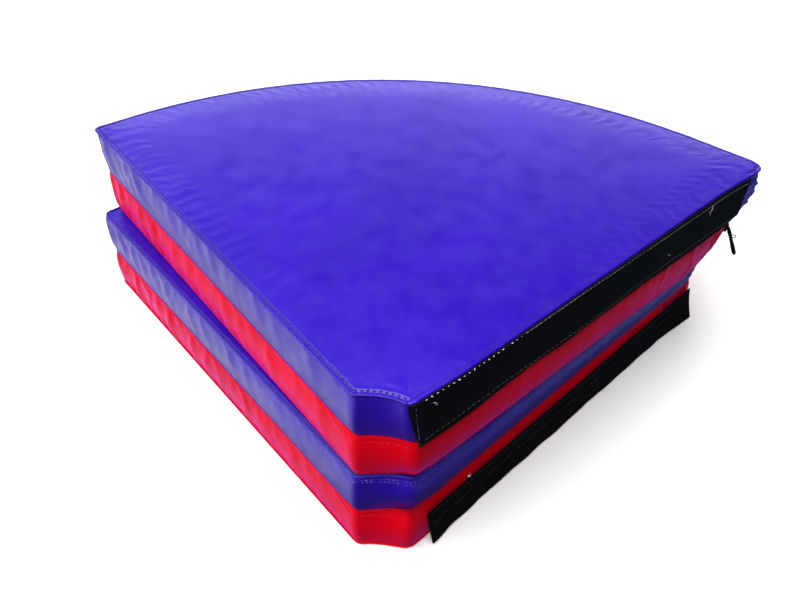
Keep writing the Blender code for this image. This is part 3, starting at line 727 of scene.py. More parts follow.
def settle(name, grid, poles, rows):
    # Cloth on every second row and column: the seams and the flat of the faces are pinned, the rest is blown
    # out a little from inside with spare cloth, so that it folds as sewn vinyl does
    coarse = grid[::2, ::2]
    obj = addObject(name, gridMesh(name, coarse, poles=poles))
    rowCount, colCount = coarse.shape[:2]
    free = np.zeros(rowCount)
    wallRows = np.arange(*rows["wall"]) // 2
    free[wallRows[1:-1]] = clothFree["wall"]
    for way in (1, -1):
        free[::way][(len(faceShares) + 5) // 2:(rows["face"] - 5) // 2] = clothFree["face"]
    pin = obj.vertex_groups.new(name="pinned")
    for row in range(rowCount):
        if free[row] < 1.0:
            pin.add(list(range(row * colCount, (row + 1) * colCount)), float(1.0 - free[row]), "REPLACE")
    pin.add([rowCount * colCount, rowCount * colCount + 1], 1.0, "REPLACE")
    modifier = obj.modifiers.new("cloth", "CLOTH")
    for key, value in cloth.items():
        setattr(modifier.settings, key, value)
    modifier.settings.vertex_group_mass = "pinned"
    modifier.settings.effector_weights.gravity = 0.0
    modifier.point_cache.frame_start, modifier.point_cache.frame_end = 1, clothSteps
    scene = bpy.context.scene
    for step in range(1, clothSteps + 1):
        scene.frame_set(step)
    shape = obj.evaluated_get(bpy.context.evaluated_depsgraph_get()).data
    flat = np.empty(len(shape.vertices) * 3, np.float32)
    shape.vertices.foreach_get("co", flat)
    moved = flat.reshape(-1, 3)[:rowCount * colCount].reshape(coarse.shape) - coarse
    scene.frame_set(1)
    bpy.data.objects.remove(obj, do_unlink=True)
    return moved


def finerField(moved, rows, cols):
    # the movement at every row and column: halfway between its neighbours where the cloth has none
    wide = np.repeat(moved, 2, 1)
    wide[:, 1::2] = (moved + np.roll(moved, -1, 1)) / 2
    tall = np.zeros((rows, cols, 3))
    tall[::2] = wide[:len(tall[::2]), :cols]
    tall[1::2] = ((wide[:-1] + wide[1:]) / 2)[:len(tall[1::2]), :cols]
    return tall


def foldedGrid(pad, grid, poles, run, outward, rows):
    # add the cloth's folds to a cover: its swelling, the mean of 61 columns, is taken away, since the wall's bow
    # is in its profile already
    moved = settle(pad["name"] + "CoverCloth", grid, poles, rows)
    field = finerField(moved, *grid.shape[:2])
    out3 = withZ(outward, 0.0)[None]
    alongWall = (field * out3).sum(-1)
    swelling = np.stack([np.convolve(np.concatenate([r[-30:], r, r[:30]]), np.ones(61) / 61, "valid")
                         for r in alongWall])
    folds = np.clip(alongWall - swelling, -clothCap["wall"], clothCap["wall"])
    starts, counts, _ = stretches(cover["spacing"])
    middles = [starts[s] + counts[s] / 2 for s in clothShare]
    folds = folds * np.interp(np.arange(len(run)), middles, list(clothShare.values()), period=len(run))
    first, last = rows["wall"]
    inWall = np.zeros(len(grid))
    inWall[first:last] = 1.0
    folds[first:last] *= 1 - rows["tape"]
    fieldZ = clothOnFace * np.clip(field[..., 2], -clothCap["face"], clothCap["face"])
    grid = grid + out3 * (folds * inWall[:, None])[..., None]
    grid[..., 2] = np.clip(grid[..., 2] + fieldZ * (1 - inWall)[:, None], -pad["half"], pad["half"])
    for what, values in (("folds", folds), ("swelling", swelling)):
        print("  cloth:", pad["name"], what, round(float(np.abs(values).max()) * 1000, 2), "mm")
    return grid


def makeCover(pad):
    grid, poles, run, outward, rows = coverGrid(pad, cover["spacing"])
    grid = foldedGrid(pad, grid, poles, run, outward, rows)
    obj = addGrid(pad["name"] + "Cover", toWorld(pad, grid), pad["vinyl"], pad["body"], pad["slot"],
                  poles=toWorld(pad, poles))
    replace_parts(obj, pad["name"] + "_face_sheet", pad["name"] + "_back_sheet", pad["name"] + "_side_band")
    pad["grid"], pad["wallRow"] = grid, rows["wall"][0]


foam = {
    "spacing": 0.012,
    "shares": (0.3, 0.65),
    "insets": (0.060, 0.030, 0.014, 0.0082, 0.0070),
    "depth": 0.0024,           # under the vinyl
    "crown": 0.0022,           # the middle lies this much higher than the edge
    "edgeDrop": 0.0012,
    "sharpAbove": 35,
}


def makeFoamBlock(pad):
    # foam wedge inside: rings drawn in behind the zip tape and the bowed walls, with a crowned top and bottom
    insets, spacing = foam["insets"], foam["spacing"]
    reach = insets[0]
    ring60 = outlineRing(pad, reach, spacing)
    centre = np.array(cover["middle"])
    rings = [centre + (ring60 - centre) * s for s in foam["shares"]]
    rings += [outlineRing(pad, i, spacing) for i in insets]
    outward = outwardOf(outlineRing(pad, 0.0, spacing))
    inset = np.array([reach, reach, *insets])
    z = pad["half"] - foam["depth"] - foam["crown"] * (1 - np.minimum(inset / reach, 1)) ** 2
    z[-1] -= foam["edgeDrop"]

    def layer(side):
        back = smooth((0.03 - inset) / 0.01)[:, None] * drawnIn(pad, side, spacing)
        return withZ(np.stack(rings) - outward * back[..., None], side * z[:, None])

    grid = np.concatenate([layer(1), layer(-1)[::-1]])
    poles = np.array([[*centre, z[0]], [*centre, -z[0]]])
    obj = addGrid(pad["name"] + "Foam", toWorld(pad, grid), "foamCells", pad["body"], "foam", foam["sharpAbove"],
                  poles=toWorld(pad, poles))
    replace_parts(obj, pad["name"] + "_foam_core")


for pad in pads:
    makeCover(pad)
    makeFoamBlock(pad)
print("covers and foam made")


# Seams: a sewn lip along each edge, and rows of stitches

seam = {
    "spacing": 0.0013,
    "thickness": 0.0015,
    "outerInset": 0.0004,
    "innerInset": 0.0032,      # the same between two pads and under the lowest
    "middleInset": 0.0025,     # where a lip's own line runs
    "raise": 0.00085,          # a lip between two pads rises nearly to the middle of the gap
    "foldRaise": 0.00020,      # less where the hinge cloth lies in the gap
    "topRaise": 0.00045,       # on the outside faces
    "hiddenDrop": 0.0011,      # a lip lies lower where the closing strip covers it
    "fadeColumns": 10.0,
    "pull": 0.00022,           # each stitch draws the lip in
    "innerPull": 0.00030,
    "slack": 0.0002,           # before the lip's edge and under it
    "sag": 0.00012,
    "innerDrop": 0.0006,       # the lip's inner edge turns down
    "wander": 0.00025,         # and the hand that sews it wanders
    "lipRowOuter": 0.0031,     # the row down the middle of a lip, where the lip stands out
    "lipRowInner": 0.0041,     # and where it doesn't
    "lipRowSink": 0.00035,
    "faceRow": 0.0019,         # the row on the face, past the lip
    "faceRowSink": 0.00042,
}
# what a row of stitches of a kind has that a plain one hasn't; heavy is the row that shows best, round the top
stitches = {
    "plain": {"pitch": 0.0066, "length": 0.0040, "width": 0.0009, "sink": 0.25, "jitter": 0.04, "vary": 0.0},
    "heavy": {"pitch": 0.0056, "width": 0.0017},
    "wall": {"pitch": 0.0044, "length": 0.0021, "width": 0.0007, "jitter": 0.12, "vary": 0.3},
    "zip": {"pitch": 0.0052, "length": 0.0032, "width": 0.0008, "jitter": 0.03},
    "hookNear": {"pitch": 0.0060, "length": 0.0020, "sink": -0.1, "jitter": 0.25, "vary": 0.28},
    "hookFar": {"pitch": 0.0063, "length": 0.0054, "width": 0.0007, "sink": -0.1, "jitter": 0.05, "vary": 0.1},
    "hookEnd": {"pitch": 0.0038, "length": 0.0022, "width": 0.0008, "sink": 0.0, "jitter": 0.12, "vary": 0.3},
    "hookLow": {"length": 0.0046, "width": 0.0007, "sink": 0.0},
    "loop": {"length": 0.0044, "width": 0.0007, "sink": 0.0},
}
stitchPitch = stitches["plain"]["pitch"]


def capsule(length, width, height):
    # five rings of six points: radius of a ring is the root of one minus its place squared, ends closed
    t = np.array([-1.0, -0.72, 0.0, 0.72, 1.0])
    r = np.sqrt(np.maximum(1 - t ** 2, 0.02))
    a = circle(6)
    points = np.stack([np.repeat(t * length / 2, 6), (r[:, None] * np.cos(a) * width / 2).ravel(),
                       (r[:, None] * np.sin(a) * height / 2).ravel()], -1)
    ring, side = np.meshgrid(np.arange(4), np.arange(6), indexing="ij")
    after = (side + 1) % 6
    quads = np.stack([ring * 6 + side, ring * 6 + 6 + side, ring * 6 + 6 + after, ring * 6 + after], -1)
    ends = np.array([[0, 1, 2, 3], [3, 4, 5, 0], [27, 26, 25, 24], [24, 29, 28, 27]])
    return points, np.concatenate([quads.reshape(-1, 4), ends])


def stitchRow(path, normal, kind, seed=1, closed=False):
    # stitches lie along a line on a surface, a pitch apart, sunk a little into it, each turned and sized by chance
    stitch = {**stitches["plain"], **stitches[kind]}
    length, width = stitch["length"], stitch["width"]
    run = lengthsAlong(path, closed)
    total = run[-1]
    count = max(1, int(total / stitch["pitch"]))
    at = (np.arange(count) + 0.5) * total / count
    middle, ahead, behind = (resample(path, place, closed) for place in (
        at, np.minimum(at + length / 2, total), np.maximum(at - length / 2, 0)))
    up = unit(between(at, run[:len(path)], normal))
    along = unit(ahead - behind)
    rng = np.random.default_rng(seed)
    along = unit(along + unit(np.cross(up, along)) * rng.normal(0, stitch["jitter"], (count, 1)))
    side = unit(np.cross(up, along))
    size = np.clip(1 + stitch["vary"] * rng.normal(0, 1, (count, 1)), 0.35, 1.6)
    return repeated(*capsule(length, width, width * 0.8), middle + up * width * (0.4 - stitch["sink"]),
                    along * size, side * size, up * size)


def lipRaise(pad, side, spacing):
    # height of a lip over its face's flat, column by column: lower along the pad's fold on that face
    starts, counts, k = stretches(spacing)
    if isOutside(pad, side):
        height = np.full(len(k), seam["topRaise"] - cover["outerFall"])
        return height - seam["hiddenDrop"] * (1 - lipShow(pad, side, spacing))
    height = np.full(len(k), seam["raise"])
    fold = pad["folds"][0 if side < 0 else 1]
    if fold != "none":
        edge = seam["fadeColumns"]
        name = {"left": "leftWall", "right": "wall"}[fold]
        start, stop = starts[name], starts[name] + counts[name]
        inside = smooth((k - start + edge) / edge) * smooth((stop - k + edge) / edge)
        if start == 0:
            inside = np.maximum(inside, smooth((k - len(k) + edge) / edge))
        height = height + (seam["foldRaise"] - seam["raise"]) * inside
    return height


def makeLip(pad, side):
    spacing, thick = seam["spacing"], seam["thickness"]
    ring = outlineRing(pad, seam["middleInset"], spacing)
    run = lengthsAlong(ring)
    top = pad["half"] + lipRaise(pad, side, spacing)
    sewn = 0.5 - 0.5 * np.cos(2 * math.pi * run / stitchPitch)
    wander = waves(run, (0.061, 0.023, 0.137), len(pad["name"]) * 3 + side) * seam["wander"]
    outer = seam["outerInset" if lipStandsOut(pad, side) else "innerInset"]
    outer = outer + seam["pull"] * sewn + seam["slack"] + np.abs(wander)
    inner = cover["lipWidth"] + seam["innerPull"] * sewn + wander
    top = top - seam["sag"] - np.abs(wander) * 0.5
    # closed profile (inset, height): round outer edge, gently arched top that dips at the stitch row
    t = np.radians(np.linspace(-80, 80, 7))
    edgeIn = (outer + thick / 2)[:, None] - thick / 2 * np.cos(t)[None]
    edgeUp = (top - thick / 2)[:, None] + thick / 2 * np.sin(t)[None]
    share = np.linspace(0.12, 1.0, 7)[None]
    width = (inner - outer)[:, None]
    topIn = outer[:, None] + thick * 0.3 + (width - thick * 0.3) * share
    dip = seam["pull"] * (1 - 0.6 * sewn)[:, None] * bump(share, 0.62, 0.16)
    dip = dip + seam["innerDrop"] * smooth((share - 0.82) / 0.18) ** 2
    baseUp = np.broadcast_to((top - thick)[:, None], topIn.shape) - seam["slack"]
    insets = np.concatenate([edgeIn, topIn, topIn[:, ::-1]], 1) + drawnIn(pad, side, spacing)[:, None]
    heights = np.concatenate([edgeUp, top[:, None] - dip, baseUp], 1)
    plan = ring[:, None] + outwardOf(ring)[:, None] * (seam["middleInset"] - insets)[..., None]
    grid = toWorld(pad, withZ(plan, side * heights))
    grid = grid[:, ::-1] if side > 0 else grid
    addGrid(pad["name"] + ("UpperLip" if side > 0 else "LowerLip"), grid, pad["vinyl"], pad["body"], pad["slot"],
            closeRows=True)


def seamStitches(pad, side):
    # two rows: one down the middle of the lip, one on the face just inside it
    spacing, juts = seam["spacing"], lipStandsOut(pad, side)
    lipTop, faceTop = pad["half"] + lipRaise(pad, side, spacing), pad["half"] - faceFall(pad, side)
    rows = []
    for inset, lift, kind in ((seam["lipRowOuter" if juts else "lipRowInner"], lipTop - seam["lipRowSink"], "plain"),
                              (cover["lipWidth"] + seam["faceRow"], faceTop - seam["faceRowSink"],
                               "heavy" if juts else "plain")):
        ring = outlineRing(pad, inset, spacing)
        ring = ring - outwardOf(ring) * drawnIn(pad, side, spacing)[:, None]
        path = toWorld(pad, withZ(ring, side * lift))
        rows.append(stitchRow(path, np.broadcast_to(upward * side, path.shape), kind, len(rows) + 7, closed=True))
    label = pad["name"] + ("UpperSeamStitches" if side > 0 else "LowerSeamStitches")
    addParts(label, rows, seamThreadOf[pad["vinyl"]], pad["body"])


def wallStitches(pad):
    # rows on the wall under its upper seam, on the cover's own rows of points
    outward = withZ(outwardOf(outlineRing(pad, 0.0, cover["spacing"])), 0.0)
    paler = pad["name"] == "lower"
    rows = []
    for k in (2, 4) if paler else (3,):
        path = toWorld(pad, pad["grid"][pad["wallRow"] + k] + outward * 0.0001)
        rows.append(stitchRow(path, turned(pad, outward), "wall", k, closed=True))
    addParts(pad["name"] + "WallStitches", rows, "lavenderThread" if paler else threadOf[pad["vinyl"]],
             pad["body"])


for pad in pads:
    for side in (1, -1):
        makeLip(pad, side)
        seamStitches(pad, side)
    wallStitches(pad)
print("seams sewn")


# Zips on the arcs

zipParts = {
    "spacing": 0.0025,
    "tapeInset": 0.00267,
    "tapeWidth": 0.0236,
    "tapeThickness": 0.0007,
    "tapeCorner": 0.0003,
    "tapeRound": 0.05,         # once round the tape, for its map
    "sharpAbove": 40,
    "toothPitch": 0.0021,
    "tooth": (0.0036, 0.0015, 0.0017),
    "toothInset": 0.00155,
    "toothOffset": 0.00155,    # of each row of teeth from the zip's middle
    "toothLean": 0.25,
    "endGap": 0.004,
    "stop": (0.0066, 0.0026, 0.0022),
    "stopGap": 0.0015,
    "edgeRow": 0.0032,         # stitches past the window's edge
}


def makeZip(pad):
    spacing, thickness = zipParts["spacing"], zipParts["tapeThickness"]
    first, last = zipSpan(pad, spacing)
    middle = pad["way"] * cover["windowMiddle"]

    def line(inset, level):
        return withZ(outlineRing(pad, inset, spacing), level)[first:last + 1]

    outward = withZ(outwardOf(outlineRing(pad, zipParts["tapeInset"], spacing)), 0.0)[first:last + 1]
    path = line(zipParts["tapeInset"], middle)
    profile = roundedBar(thickness, zipParts["tapeWidth"], zipParts["tapeCorner"]) - [thickness / 2, 0]
    grid = sweep(path, outward, np.broadcast_to(upward, path.shape), profile)
    tape = addGrid(pad["name"] + "ZipTape", toWorld(pad, grid)[:, ::-1], "zipTape", pad["body"], "zip_tape",
                   zipParts["sharpAbove"], caps=True,
                   uv=(lengthsAlong(path), np.linspace(0, zipParts["tapeRound"], len(profile) + 1)))
    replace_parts(tape, pad["name"] + "_zip_tape")

    # teeth lean against each other across the tape, and a stop closes each end
    toothLine = toWorld(pad, line(zipParts["toothInset"], middle))
    outWorld = turned(pad, outward)
    run = lengthsAlong(toothLine)
    rows = []

    def forms(at, way, size):
        out = unit(between(at, run, outWorld))
        up = np.broadcast_to(upward, out.shape)
        across = unit(up + zipParts["toothLean"] * way * np.cross(up, out)) if way else up
        places = resample(toothLine, at) + up * way * zipParts["toothOffset"]
        rows.append(repeated(*capsule(*size), places, across, np.cross(out, across), out))

    for way in (-1, 1):
        start = zipParts["endGap"] + (way + 1) * zipParts["toothPitch"] / 4
        forms(np.arange(start, run[-1] - zipParts["endGap"], zipParts["toothPitch"]), way, zipParts["tooth"])
    forms(np.array([zipParts["stopGap"], run[-1] - zipParts["stopGap"]]), 0, zipParts["stop"])
    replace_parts(addParts(pad["name"] + "ZipTeeth", rows, "zipTeeth", pad["body"]),
                pad["name"] + "_zip_chain")

    rows = []
    for way in (-1, 1):
        level = middle + way * (cover["windowHalf"] + zipParts["edgeRow"])
        share = level / (pad["half"] - cover["rim"])
        edge = toWorld(pad, line(cover["seamTuck"] * share ** 2 + 0.0002, level))
        rows.append(stitchRow(edge, outWorld, "zip"))
    addParts(pad["name"] + "ZipStitches", rows, threadOf[pad["vinyl"]], pad["body"])


grip = {
    "at": (-0.0075, -0.0045, 0.0, 0.006, 0.013, 0.020, 0.026, 0.0285),
    "radius": (0.0008, 0.0021, 0.0026, 0.0019, 0.0022, 0.0027, 0.0025, 0.0010),
    "ribs": 0.00022,
    "ribPitch": 0.0021,
    "flat": 0.85,
    "beyond": {"base": 0.002, "lower": 0.002, "upper": 0.017, "top": 0.008},
    "overFloor": 0.003,
    "ring": 0.0024,
    "ringTube": 0.0006,
    "ringAt": 0.008,
    "ringGap": 0.0014,
}


def makeGrip(pad):
    # moulded grip over a zip's metal pull: round bulbs with fine ribs along the pull's own long axis, and the
    # little ring that ties it on
    node = frame["nodes"][pad["name"] + "_zip_pull"]
    flat = np.empty(len(node.data.vertices) * 3, np.float32)
    node.data.vertices.foreach_get("co", flat)
    points = flat.reshape(-1, 3) @ np.array(node.matrix_world)[:3, :3].T + np.array(node.matrix_world)[:3, 3]
    centre = points.mean(0)
    thin, _, long = np.linalg.eigh(np.cov((points - centre).T))[1].T
    long = -long if long[2] > 0 else long
    wide = np.cross(long, thin)
    s = np.linspace(grip["at"][0], grip["at"][-1], 61)
    radius = np.interp(s, grip["at"], grip["radius"]) + grip["ribs"] * np.sin(2 * math.pi * s / grip["ribPitch"])
    low = ((points - centre) @ long).max()
    room = (centre + long * low)[2] - grip["overFloor"]
    s = s * (low + min(grip["beyond"][pad["name"]], max(room, 0.0))) / s[-1]
    around = circle(16)
    ringOut = thin * np.cos(around)[:, None] + wide * grip["flat"] * np.sin(around)[:, None]
    grid = centre + long * s[:, None, None] + ringOut[None] * radius[:, None, None]
    ends = np.array([centre + long * (s[0] - 0.0003), centre + long * (s[-1] + 0.0003)])
    body = pad["name"] + "_pull"
    addGrid(pad["name"] + "PullGrip", grid, "gripRubber", body, None, 60, poles=ends)
    turn, tube = circle(28), circle(8)
    spoke = thin * np.cos(turn)[:, None] + long * np.sin(turn)[:, None]
    hub = centre + long * grip["ringAt"] + thin * np.sign(thin @ centre) * (grip["ringGap"] + grip["ring"])
    ring = hub + spoke[:, None] * (grip["ring"] + grip["ringTube"] * np.cos(tube)[None, :, None]) \
        + wide * (grip["ringTube"] * np.sin(tube))[None, :, None]
    addGrid(pad["name"] + "PullRing", ring, "blackedMetal", body, "zip_metal", closeRows=True)


for pad in pads:
    makeZip(pad)
    makeGrip(pad)
    for label in ("_zip_slider", "_zip_pull"):
        materials = frame["nodes"][pad["name"] + label].data.materials
        materials.clear()
        materials.append(finish["blackedMetal"])
print("zips made")


# Closing strips on the right walls of the top and base pads

hook = {
    "inner": 0.0368,
    "outer": 0.560,
    "top": 0.0302,
    "bottom": -0.0320,
    "thickness": 0.0017,
    "slant": 0.0065,           # the near end is cut askew
    "lengthStep": 0.0025,
    "heightSteps": 30,
    "flare": 0.0022,           # how far the lower edge stands off the wall
    "endFlare": 0.0006,
    "endReach": 0.022,
    "ripple": 0.0005,
    "lowAt": (0.04, 0.07, 0.11, 0.16, 0.19, 0.24, 0.28, 0.32, 0.38, 0.44, 0.515, 0.540, 0.560),
    "lowBy": (0.0010, -0.0020, -0.0030, 0.0005, 0.0030, 0.0012, 0.0034, 0.0012, 0.0, -0.0016, -0.0022, 0.0012,
              0.0085),
    "rowStart": 0.014,         # where its rows begin and end, from the strip's ends
    "rowEnd": 0.004,
    "edgeDrop": 0.0004,        # the upper row runs on the edge near the front
    "farDrop": 0.0046,         # and this much lower towards the far end
    "dropAt": (0.20, 0.30),    # the place and the length of that fall
    "paleShare": 0.24,         # its near stitches are pale, the others faded
    "endAt": 0.0068,           # the row down the near end
    "endSpan": (0.003, 0.058),
    "endPlaces": 26,
    "lowAtDrop": 0.0550,
    "lowStart": 0.011,
    "foldKeep": 0.25,
}
loop = {
    "inner": 0.0640,
    "outer": 0.577,
    "top": 0.0177,
    "bottom": -0.0283,
    "thickness": 0.0017,
    "slant": 0.0,
    "lengthStep": 0.0025,
    "heightSteps": 24,
    "flare": 0.0076,
    "nearFlare": 0.0020,
    "farFlare": 0.0055,
    "ripple": 0.0010,
    "rowEnd": 0.004,
    "stitchDrops": (0.0030, 0.0190),
    "foldKeep": 0.04,
}
rightAlong, rightInward = edgeAxes(1)


def wallLine(pad):
    # the right wall's line and its outward normals, by running length: straight from the corner of the cut on,
    # and round that corner before it, where each step turns by its share of the bend
    corner, radius = innerCorner(pad, 1, 0.0)
    start = corner @ rightAlong
    bend = math.acos(unit(cutCircle(0.0)[0] - corner) @ -rightInward)
    u = np.linspace(0.0, 0.62, 1241)
    heading = math.pi / 4 - bend * np.clip((start - u) / (radius * bend), 0, 1)
    step = np.stack([np.cos(heading), np.sin(heading)], -1) * (u[1] - u[0])
    line = np.cumsum(step, 0)
    line += rightAlong * start + rightInward * wallInset(pad, 1) - resample(
        line, [np.interp(start, u, lengthsAlong(line))])
    return u, line, np.stack([np.sin(heading), -np.cos(heading)], -1)


for pad in (topPad, basePad):
    pad["wallLine"] = wallLine(pad)


def onWall(pad, along, out):
    # a place along the wall line and out from the quarter's own edge
    u, line, normals = pad["wallLine"]
    place, normal = (np.stack([np.interp(along, u, column) for column in v.T], -1) for v in (line, normals))
    return place + normal * (out + wallInset(pad, 1))[..., None], normal


def stripGrid(pad, strip, outOffset, edgeShift):
    # a strip on the right wall: for each place along it, a closed loop round its thickness; the profile is the
    # outer face going down, the round lower edge, the inner face going up and the round upper edge
    inner, outer, half = strip["inner"], strip["outer"], strip["thickness"] / 2
    u = np.linspace(inner, outer, int((outer - inner) / strip["lengthStep"]) + 1)
    v = np.linspace(0, 1, strip["heightSteps"] + 1)
    face, sides, bulge = np.ones(len(v)), half * np.array([0.7, 0, -0.7]), half * np.array([0.7, 1, 0.7])
    profileOut = np.concatenate([face * half, sides, -face * half, -sides])
    share = np.concatenate([1 - v, [0, 0, 0], v, [1, 1, 1]])[None]
    lift = np.concatenate([face * 0, -bulge, face * 0, bulge])
    low, high = edgeShift(u)
    # the near end is cut at a slant: its lower corner starts farther out
    along = u[:, None] + strip["slant"] * (1 - share) * (1 - smooth((u[:, None] - inner) / 0.04))
    z = (strip["bottom"] + low)[:, None] * (1 - share) + (strip["top"] + high)[:, None] * share + lift[None]
    out = profileOut[None] + outOffset(along, share, z)
    return toWorld(pad, withZ(onWall(pad, along, out)[0], z))


def onTheWall(strip):
    # middle of a strip that lies flat, out of the quarter's edge line
    return -stack["closureInset"] + 0.0003 + strip["thickness"] / 2


def hookOffset(along, share, z):
    # flat on the wall, lower edge and front end lifted, long slow waves
    lowEdge = smooth((0.45 - share) / 0.45) ** 1.5 * (0.55 + 0.45 * waves(along, (0.21, 0.34), 4))
    front = smooth((hook["inner"] + hook["endReach"] - along) / hook["endReach"]) * (0.4 + 0.6 * share)
    ripple = hook["ripple"] * waves(along + 0.3 * z, (0.047, 0.081, 0.029), 9) * smooth((1 - share) / 0.3)
    return onTheWall(hook) + hook["flare"] * lowEdge + hook["endFlare"] * front + np.abs(ripple)


def hookEdges(u):
    # the strip is sewn on by hand and eye: its lower edge rises and falls by some millimetres
    low = np.interp(u, hook["lowAt"], hook["lowBy"])
    return low + 0.0004 * waves(u, (0.06, 0.11), 21), 0.0003 * waves(u, (0.09, 0.035), 22)


def loopOffset(along, share, z):
    # the strip hangs on its upper half; the lower edge stands off the wall, most at its two ends
    reach = loop["flare"] + loop["nearFlare"] * smooth((0.10 - along) / 0.03) \
        + loop["farFlare"] * smooth((along - 0.49) / 0.09)
    ripple = loop["ripple"] * waves(along, (0.052, 0.094, 0.170), 31) * (1 - share)
    return onTheWall(loop) + reach * (1 - share) ** 1.3 + np.maximum(ripple, -0.0004)


def loopEdges(u):
    return 0.0008 * waves(u, (0.05, 0.12, 0.23), 33), 0.0005 * waves(u, (0.07, 0.16), 34)


def stripPath(pad, strip, offset, edges, height, start, stop, count=None):
    # line on a strip's outer face; height gives the distance under the upper edge for each place
    u = np.linspace(start, stop, count or max(2, int(abs(stop - start) / 0.002) + 1))
    low, high = edges(u)
    top, bottom = strip["top"] + high, strip["bottom"] + low
    z = top - height(u)
    plan, normal = onWall(pad, u, offset(u, (z - bottom) / (top - bottom), z) + strip["thickness"] / 2)
    return toWorld(pad, withZ(plan, z)), turned(pad, withZ(normal, 0.0))


def pressFlat(pieces):
    # give each piece a mesh of its own
    for obj in pieces:
        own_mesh(obj)


def makeStrip(name, pad, strip, offset, edges, look, slot, node):
    grid = stripGrid(pad, strip, offset, edges)[:, ::-1]
    obj = addGrid(name, grid, look, pad["body"], slot, 50, caps=True)
    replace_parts(obj, node)
    return obj


def makeHookStrip():
    strip = makeStrip("topHookStrip", topPad, hook, hookOffset, hookEdges, "hookTape", "hook_strip",
                      "top_hook_strip")

    def path(height, start, stop, count=None):
        return stripPath(topPad, hook, hookOffset, hookEdges, height, start, stop, count)

    near, far = hook["inner"], hook["outer"] - hook["rowEnd"]
    dropFrom, dropLength = hook["dropAt"]
    line, normal = path(lambda u: hook["edgeDrop"] + hook["farDrop"] * smooth((u - dropFrom) / dropLength),
                        near + hook["rowStart"], far)
    tilted = unit(normal + 0.9 * upward)
    split = int(len(line) * hook["paleShare"])
    heights = np.linspace(*hook["endSpan"], hook["endPlaces"])
    endAt = near + hook["endAt"]
    end = path(lambda u: heights, endAt, endAt + 1e-6, len(heights))
    low = path(lambda u: hook["lowAtDrop"] + 0.0 * u, near + hook["lowStart"], far)
    rows = (("topHookStitches", "hookNear", (line[:split], tilted[:split]), 3, "paleThread"),
            ("topHookLowerStitches", "hookLow", low, 6, "greyThread"),
            ("topHookFarStitches", "hookFar", (line[split:], tilted[split:]), 4, "fadedThread"),
            ("topHookEndStitches", "hookEnd", end, 5, "lavenderThread"))
    pieces = [addParts(name, [stitchRow(*place, kind, seed)], thread, topPad["body"])
              for name, kind, place, seed, thread in rows]
    pressFlat([*pieces, strip])


fray = {"count": 900, "margin": 0.001, "thin": 0.00022, "length": (0.0008, 0.0024), "spread": 0.6}


def makeFray():
    # frayed lower edge: short fibres that point down and out, each a thin four-sided spike
    rng = np.random.default_rng(5)
    count = fray["count"]
    u = np.sort(rng.uniform(loop["inner"] + fray["margin"], loop["outer"] - fray["margin"], count))
    z = loop["bottom"] + loopEdges(u)[0] - 0.0002
    out = loopOffset(u, np.zeros(count), z) + rng.uniform(-0.0008, 0.0008, count)
    place = toWorld(basePad, withZ(rightAlong * u[:, None] - rightInward * out[:, None], z))
    normal, along = (turned(basePad, np.broadcast_to([*v, 0.0], (count, 3))) for v in (-rightInward, rightAlong))
    down = unit(-upward + normal * rng.uniform(0.0, 0.9, (count, 1))
                + along * rng.normal(0, fray["spread"], (count, 1)))
    length = rng.uniform(*fray["length"], (count, 1))
    side = unit(np.cross(down, normal))
    square = np.array([[-1, -1], [1, -1], [1, 1], [-1, 1]])
    spike = np.array([[k, *(size * corner * fray["thin"])] for k, size in ((0, 0.5), (1, 0.1)) for corner in square])
    faces = np.array([[0, 3, 2, 1], [4, 5, 6, 7], [0, 1, 5, 4], [1, 2, 6, 5], [2, 3, 7, 6], [3, 0, 4, 7]])
    return repeated(spike, faces, place, down * length, side, np.cross(down, side))


def makeLoopStrip():
    strip = makeStrip("baseLoopStrip", basePad, loop, loopOffset, loopEdges, "loopTape", "loop_strip",
                      "base_loop_strip")
    rows = []
    for drop in loop["stitchDrops"]:
        path, normal = stripPath(basePad, loop, loopOffset, loopEdges, lambda u: drop + 0.0 * u,
                                 loop["inner"] + loop["rowEnd"], loop["outer"] - loop["rowEnd"])
        rows.append(stitchRow(path, normal, "loop", int(drop * 1e4)))
    pieces = [strip, addParts("baseLoopStitches", rows, "darkThread", basePad["body"]),
              addParts("baseLoopFray", [makeFray()], "lint", basePad["body"])]
    pressFlat(pieces)


# thread ends on the top pad's strip: where each starts, and four places of its line along, up and out from there
looseThreads = {
    "topThreadA": {"from": (0.488, 0.0256),
                   "by": ((0.0, 0.0, 0.0004), (0.0012, -0.0035, 0.0016), (-0.0012, -0.0075, 0.0013),
                          (0.0006, -0.0120, 0.0020))},
    "topThreadB": {"from": (0.416, -0.0075),
                   "by": ((0.0, 0.0, 0.0004), (0.0018, -0.0020, 0.0012), (0.0040, -0.0026, 0.0014),
                          (0.0052, -0.0052, 0.0010))},
    "topThreadC": {"from": (0.060, 0.0205),
                   "by": ((0.0, 0.0, 0.0004), (0.0020, -0.0010, 0.0012), (0.0034, -0.0032, 0.0012),
                          (0.0026, -0.0050, 0.0006))},
}
threadRadius = 0.00028
speck = {"u": 0.128, "z": 0.0212, "out": -0.0022, "size": (0.0034, 0.0026, 0.0020),
         "fibre": (0.0040, 0.0004, 0.0004), "fibres": 9, "spread": 0.0009}


